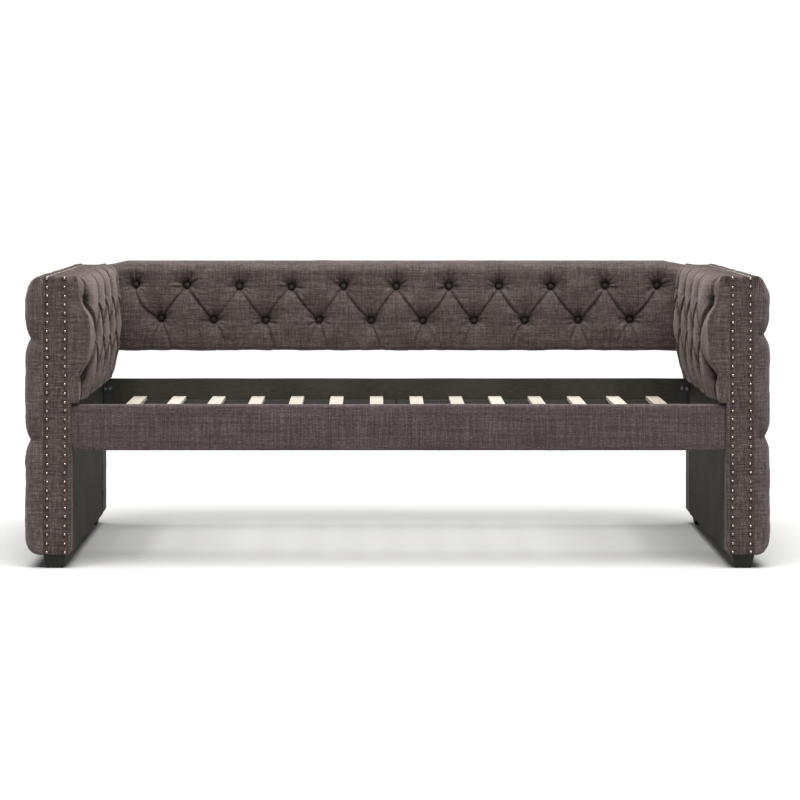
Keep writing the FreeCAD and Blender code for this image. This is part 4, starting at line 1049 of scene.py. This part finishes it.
def edge_wraps():
    """Fabric turned round the front and rear inner corners of the arms: an
    angle section with an eased corner, its lower corner rounded as well."""
    verts, faces, cloth, shade = [], [], [], []

    def angle(s, y_face, direction, y_in, z0, z1, seed):
        # section in (x, y) from the groove, round the corner, to the inner edge
        wv = Waves(seed, 60.0)
        r = 5.0
        pts = [(992.4, 1.6), (991.6, 0.2), (990.0, 0.0), (988.0, 0.0)]
        for t in np.linspace(0, math.pi / 2, 7):
            pts.append((981 + r - r * math.sin(t), r - r * math.cos(t)))
        leg = abs(y_in - y_face)
        for d in np.arange(r + 4, leg - 3, 4.0):
            pts.append((981.0, d))
        pts += [(981.2, leg - 2.2), (982.0, leg - 0.6), (983.4, leg)]
        back = [(984.8, leg - 1.0), (984.8, 12.0), (986.5, 5.5), (992.4, 5.0)]
        loop = pts + back
        run = [0.0]
        for p, q in zip(loop, loop[1:]):
            run.append(run[-1] + math.hypot(q[0] - p[0], q[1] - p[1]))
        base0 = len(verts)
        n = len(loop)
        zs = np.concatenate([z0 + 12.5 * (1 - np.cos(np.linspace(0, math.pi / 2, 8))), np.arange(z0 + 18, z1, 6.0), [z1]])
        for z in zs:
            # rounded lower corner: the piece draws outward as it nears the floor
            h = np.clip((z0 + 12.5 - z) / 12.5, 0, 1)
            out = 12.5 * (1 - math.sqrt(max(0.0, 1 - h * h)))
            for k, (x, d) in enumerate(loop):
                q = 0.30 * float(wv(np.array([float(run[k])]), np.array([float(z)]))[0]) if k < len(pts) - 1 and k > 1 else 0.0
                verts.append((s * (min(max(x, 981 + out), 992.4 + 0.0 * out) - q if k >= 10 else min(max(x, 981 + out), 992.4)),
                              y_face + direction * (d + (q if k < 10 else 0)), float(z)))
                cloth.append((run[k], float(z)))
                shade.append(0.0)
        m = len(zs)
        fl = []
        for i in range(m - 1):
            for k in range(n):
                a, b = base0 + i * n + k, base0 + i * n + (k + 1) % n
                fl.append([a, b, b + n, a + n])
        fl.append([base0 + k for k in range(n)][::-1])
        fl.append([base0 + (m - 1) * n + k for k in range(n)])
        faces.extend(fl)

    for s in (1, -1):
        angle(s, -545.0, 1.0, -495.0, 41.0, 497.0, 31 + s)
        angle(s, 545.0, -1.0, 440.0, 41.0, 877.5, 35 + s)
        # top return between the inner pad and the rear face
        b0 = len(verts)
        ys = np.linspace(449.0, 544.0, 20)
        for y in ys:
            for (x, z) in [(981.0, 872.6), (981.0, 875.5), (981.9, 877.0), (983.6, 877.5), (990.8, 877.5), (992.2, 876.6), (992.4, 874.5), (992.4, 872.6)]:
                verts.append((s * x, float(y), z))
                cloth.append((x, float(y)))
                shade.append(0.0)
        for i in range(len(ys) - 1):
            for k in range(8):
                a, b = b0 + i * 8 + k, b0 + i * 8 + (k + 1) % 8
                faces.append([a, b, b + 8, a + 8])
        faces.append([b0 + k for k in range(8)][::-1])
        faces.append([b0 + (len(ys) - 1) * 8 + k for k in range(8)])
    ob = new_mesh("arm_edge_fabric", verts, faces, M_cloth_trim, cloth=cloth, shade=shade)
    outward(ob)
    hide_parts("arm_edge_wraps")


lower_panel("left")
lower_panel("right")
edge_wraps()


def rear_cloth():
    """Plain fabric over the back panel's rear board, pulled taut and turned
    under a soft edge all round."""
    lo, hi = node_box("back_rear_panel")
    U, V, W = hi[0] - lo[0], hi[2] - lo[2], 4.0
    P0, P, N, AB, faces = slab(U, V, W, 6.0, (3.5, 3.5, 3.5, 3.5, 3.0), depth_cells=3)
    a, b = AB[:, 0], AB[:, 1]
    k = np.clip((W - P0[:, 2]) / 3.0, 0, 1)
    P += N * ((0.45 * Waves(81, 300.0)(a, b) - 0.6) * k)[:, None]
    P[:, 2] = np.minimum(P[:, 2], W)
    fall = np.maximum(0, 75.0 - np.minimum(P[:, 0], U - P[:, 0])) * 0.2
    P[:, 1] = np.minimum(P[:, 1], V - fall)
    world = np.stack([P[:, 0] + lo[0], hi[1] - P[:, 2], P[:, 1] + lo[2]], 1)
    ob = new_mesh("back_rear_fabric", world, [f[::-1] for f in faces], M_cloth_trim, cloth=AB)
    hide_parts("back_rear_panel")


rear_cloth()

# ------------------------------------------------------------------ side rails
def rail(name, replaced, outward, seed, top_r=(4.0, 4.0)):
    """Fabric drawn over foam and board: softly bowed face, rounded corners."""
    lo, hi = node_box(name)
    lo, hi = lo.copy(), hi.copy()
    lo[0] -= 1.5
    hi[0] += 1.5
    U, V = hi[0] - lo[0], hi[2] - lo[2]
    W = hi[1] - lo[1]
    cell = 4.5
    P0, P, N, AB, faces = slab(U, V, W, cell, (3.0, 9.0, 5.0, 5.0, 5.0), depth_cells=9)
    a, b = AB[:, 0], AB[:, 1]
    wv, wf = Waves(seed, 260.0), Waves(seed + 1, 60.0)
    puff = 1.8 * (1 - np.clip(np.abs(b / V * 2 - 1), 0, 1) ** 3)
    k = np.clip((W - P0[:, 2]) / 14.0, 0, 1)
    P += N * (np.maximum(puff - 0.3 + 0.5 * wv(a, b * 2.0) + 0.22 * wf(a, b), 0.0) * k)[:, None]
    P[:, 1] += (0.6 + 0.5 * np.tanh(Waves(seed + 2, 500.0)(a, b * 0))) * np.clip((P[:, 1] - V * 0.7) / (V * 0.3), 0, 1)
    if outward < 0:
        world = np.stack([P[:, 0] + lo[0], lo[1] + P[:, 2], P[:, 1] + lo[2]], 1)
    else:
        world = np.stack([P[:, 0] + lo[0], hi[1] - P[:, 2], P[:, 1] + lo[2]], 1)
        faces = [f[::-1] for f in faces]
    uv = (AB + W) / (max(U, V) + 2 * W) * 0.98 + 0.01
    ob = new_mesh(name.replace("_cover", "_upholstery"), world, faces, M_cloth_rail, cloth=AB, uv=uv)
    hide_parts(*replaced)
    return ob


rail("front_rail_cover", ["front_rail_cover", "front_rail_foam"], -1, 61)
rail("back_rail_cover", ["back_rail_cover", "back_rail_foam"], 1, 71)

# ------------------------------------------------------------------ stage
fl = bpy.data.meshes.new("floor")
fl.from_pydata([(-150, -150, 0), (150, -150, 0), (150, 150, 0), (-150, 150, 0)], [], [[0, 1, 2, 3]])
floor = bpy.data.objects.new("floor", fl)
bpy.context.scene.collection.objects.link(floor)
FT = Tree("floor_paper")
fv = FT.n("ShaderNodeTexCoord").outputs["Object"]
FT.set(Base_Color=FT.ramp(FT.noise(fv, 0.7, 2.0), [(0.3, (0.36, 0.36, 0.36)), (0.7, (0.38, 0.38, 0.38))]), Roughness=0.95, Specular_IOR_Level=0.05)
fl.materials.append(FT.m)

# studio: pale round the horizon and behind, dimmer overhead, one broad soft
# light high up and a little forward, and a weak one from each front corner
world = bpy.data.worlds.new("studio")
bpy.context.scene.world = world
world.use_nodes = True
wt = world.node_tree
wc = wt.nodes.new("ShaderNodeTexCoord")
sx = wt.nodes.new("ShaderNodeSeparateXYZ")
wt.links.new(wc.outputs["Generated"], sx.inputs[0])
ab = wt.nodes.new("ShaderNodeMath")
ab.operation = "ABSOLUTE"
wt.links.new(sx.outputs[2], ab.inputs[0])
rz = wt.nodes.new("ShaderNodeMapRange")
rz.interpolation_type = "SMOOTHSTEP"
wt.links.new(ab.outputs[0], rz.inputs[0])
for sock, val in zip(list(rz.inputs)[1:5], (0.08, 0.22, 1.05, WORLD_UP)):
    sock.default_value = val
wt.links.new(rz.outputs[0], wt.nodes["Background"].inputs[1])
wt.nodes["Background"].inputs[0].default_value = (1, 1, 1, 1)


def aim(ob, loc, target):
    ob.location = loc
    ob.rotation_euler = (Vector(target) - Vector(loc)).to_track_quat("-Z", "Y").to_euler()
    bpy.context.scene.collection.objects.link(ob)


def sun(name, direction, strength, angle, color=(1, 1, 1)):
    l = bpy.data.lights.new(name, "SUN")
    l.energy, l.angle, l.color = strength, math.radians(angle), color
    aim(bpy.data.objects.new(name, l), direction, (0, 0, 0))


sun("overhead", (0.02, -0.27, 1.0), 9.6, 58, (1.0, 0.995, 0.985))
sun("front_left", (-1.0, -1.6, 1.1), 0.15, 40)
sun("front_right", (1.2, -1.5, 1.0), 0.15, 40)

cam = bpy.data.cameras.new("camera")
cam.sensor_width = 36.0
cam.lens = 2771.8 / 800 * 36.0
cam.shift_x, cam.shift_y = 0.03125, -0.2875
cam.clip_end = 100
co = bpy.data.objects.new("camera", cam)
co.location = (-0.07125, -8.845, 1.194)
co.rotation_euler = (math.pi / 2, 0, 0)
bpy.context.scene.collection.objects.link(co)
bpy.context.scene.camera = co
bpy.context.scene.view_settings.view_transform = "Standard"
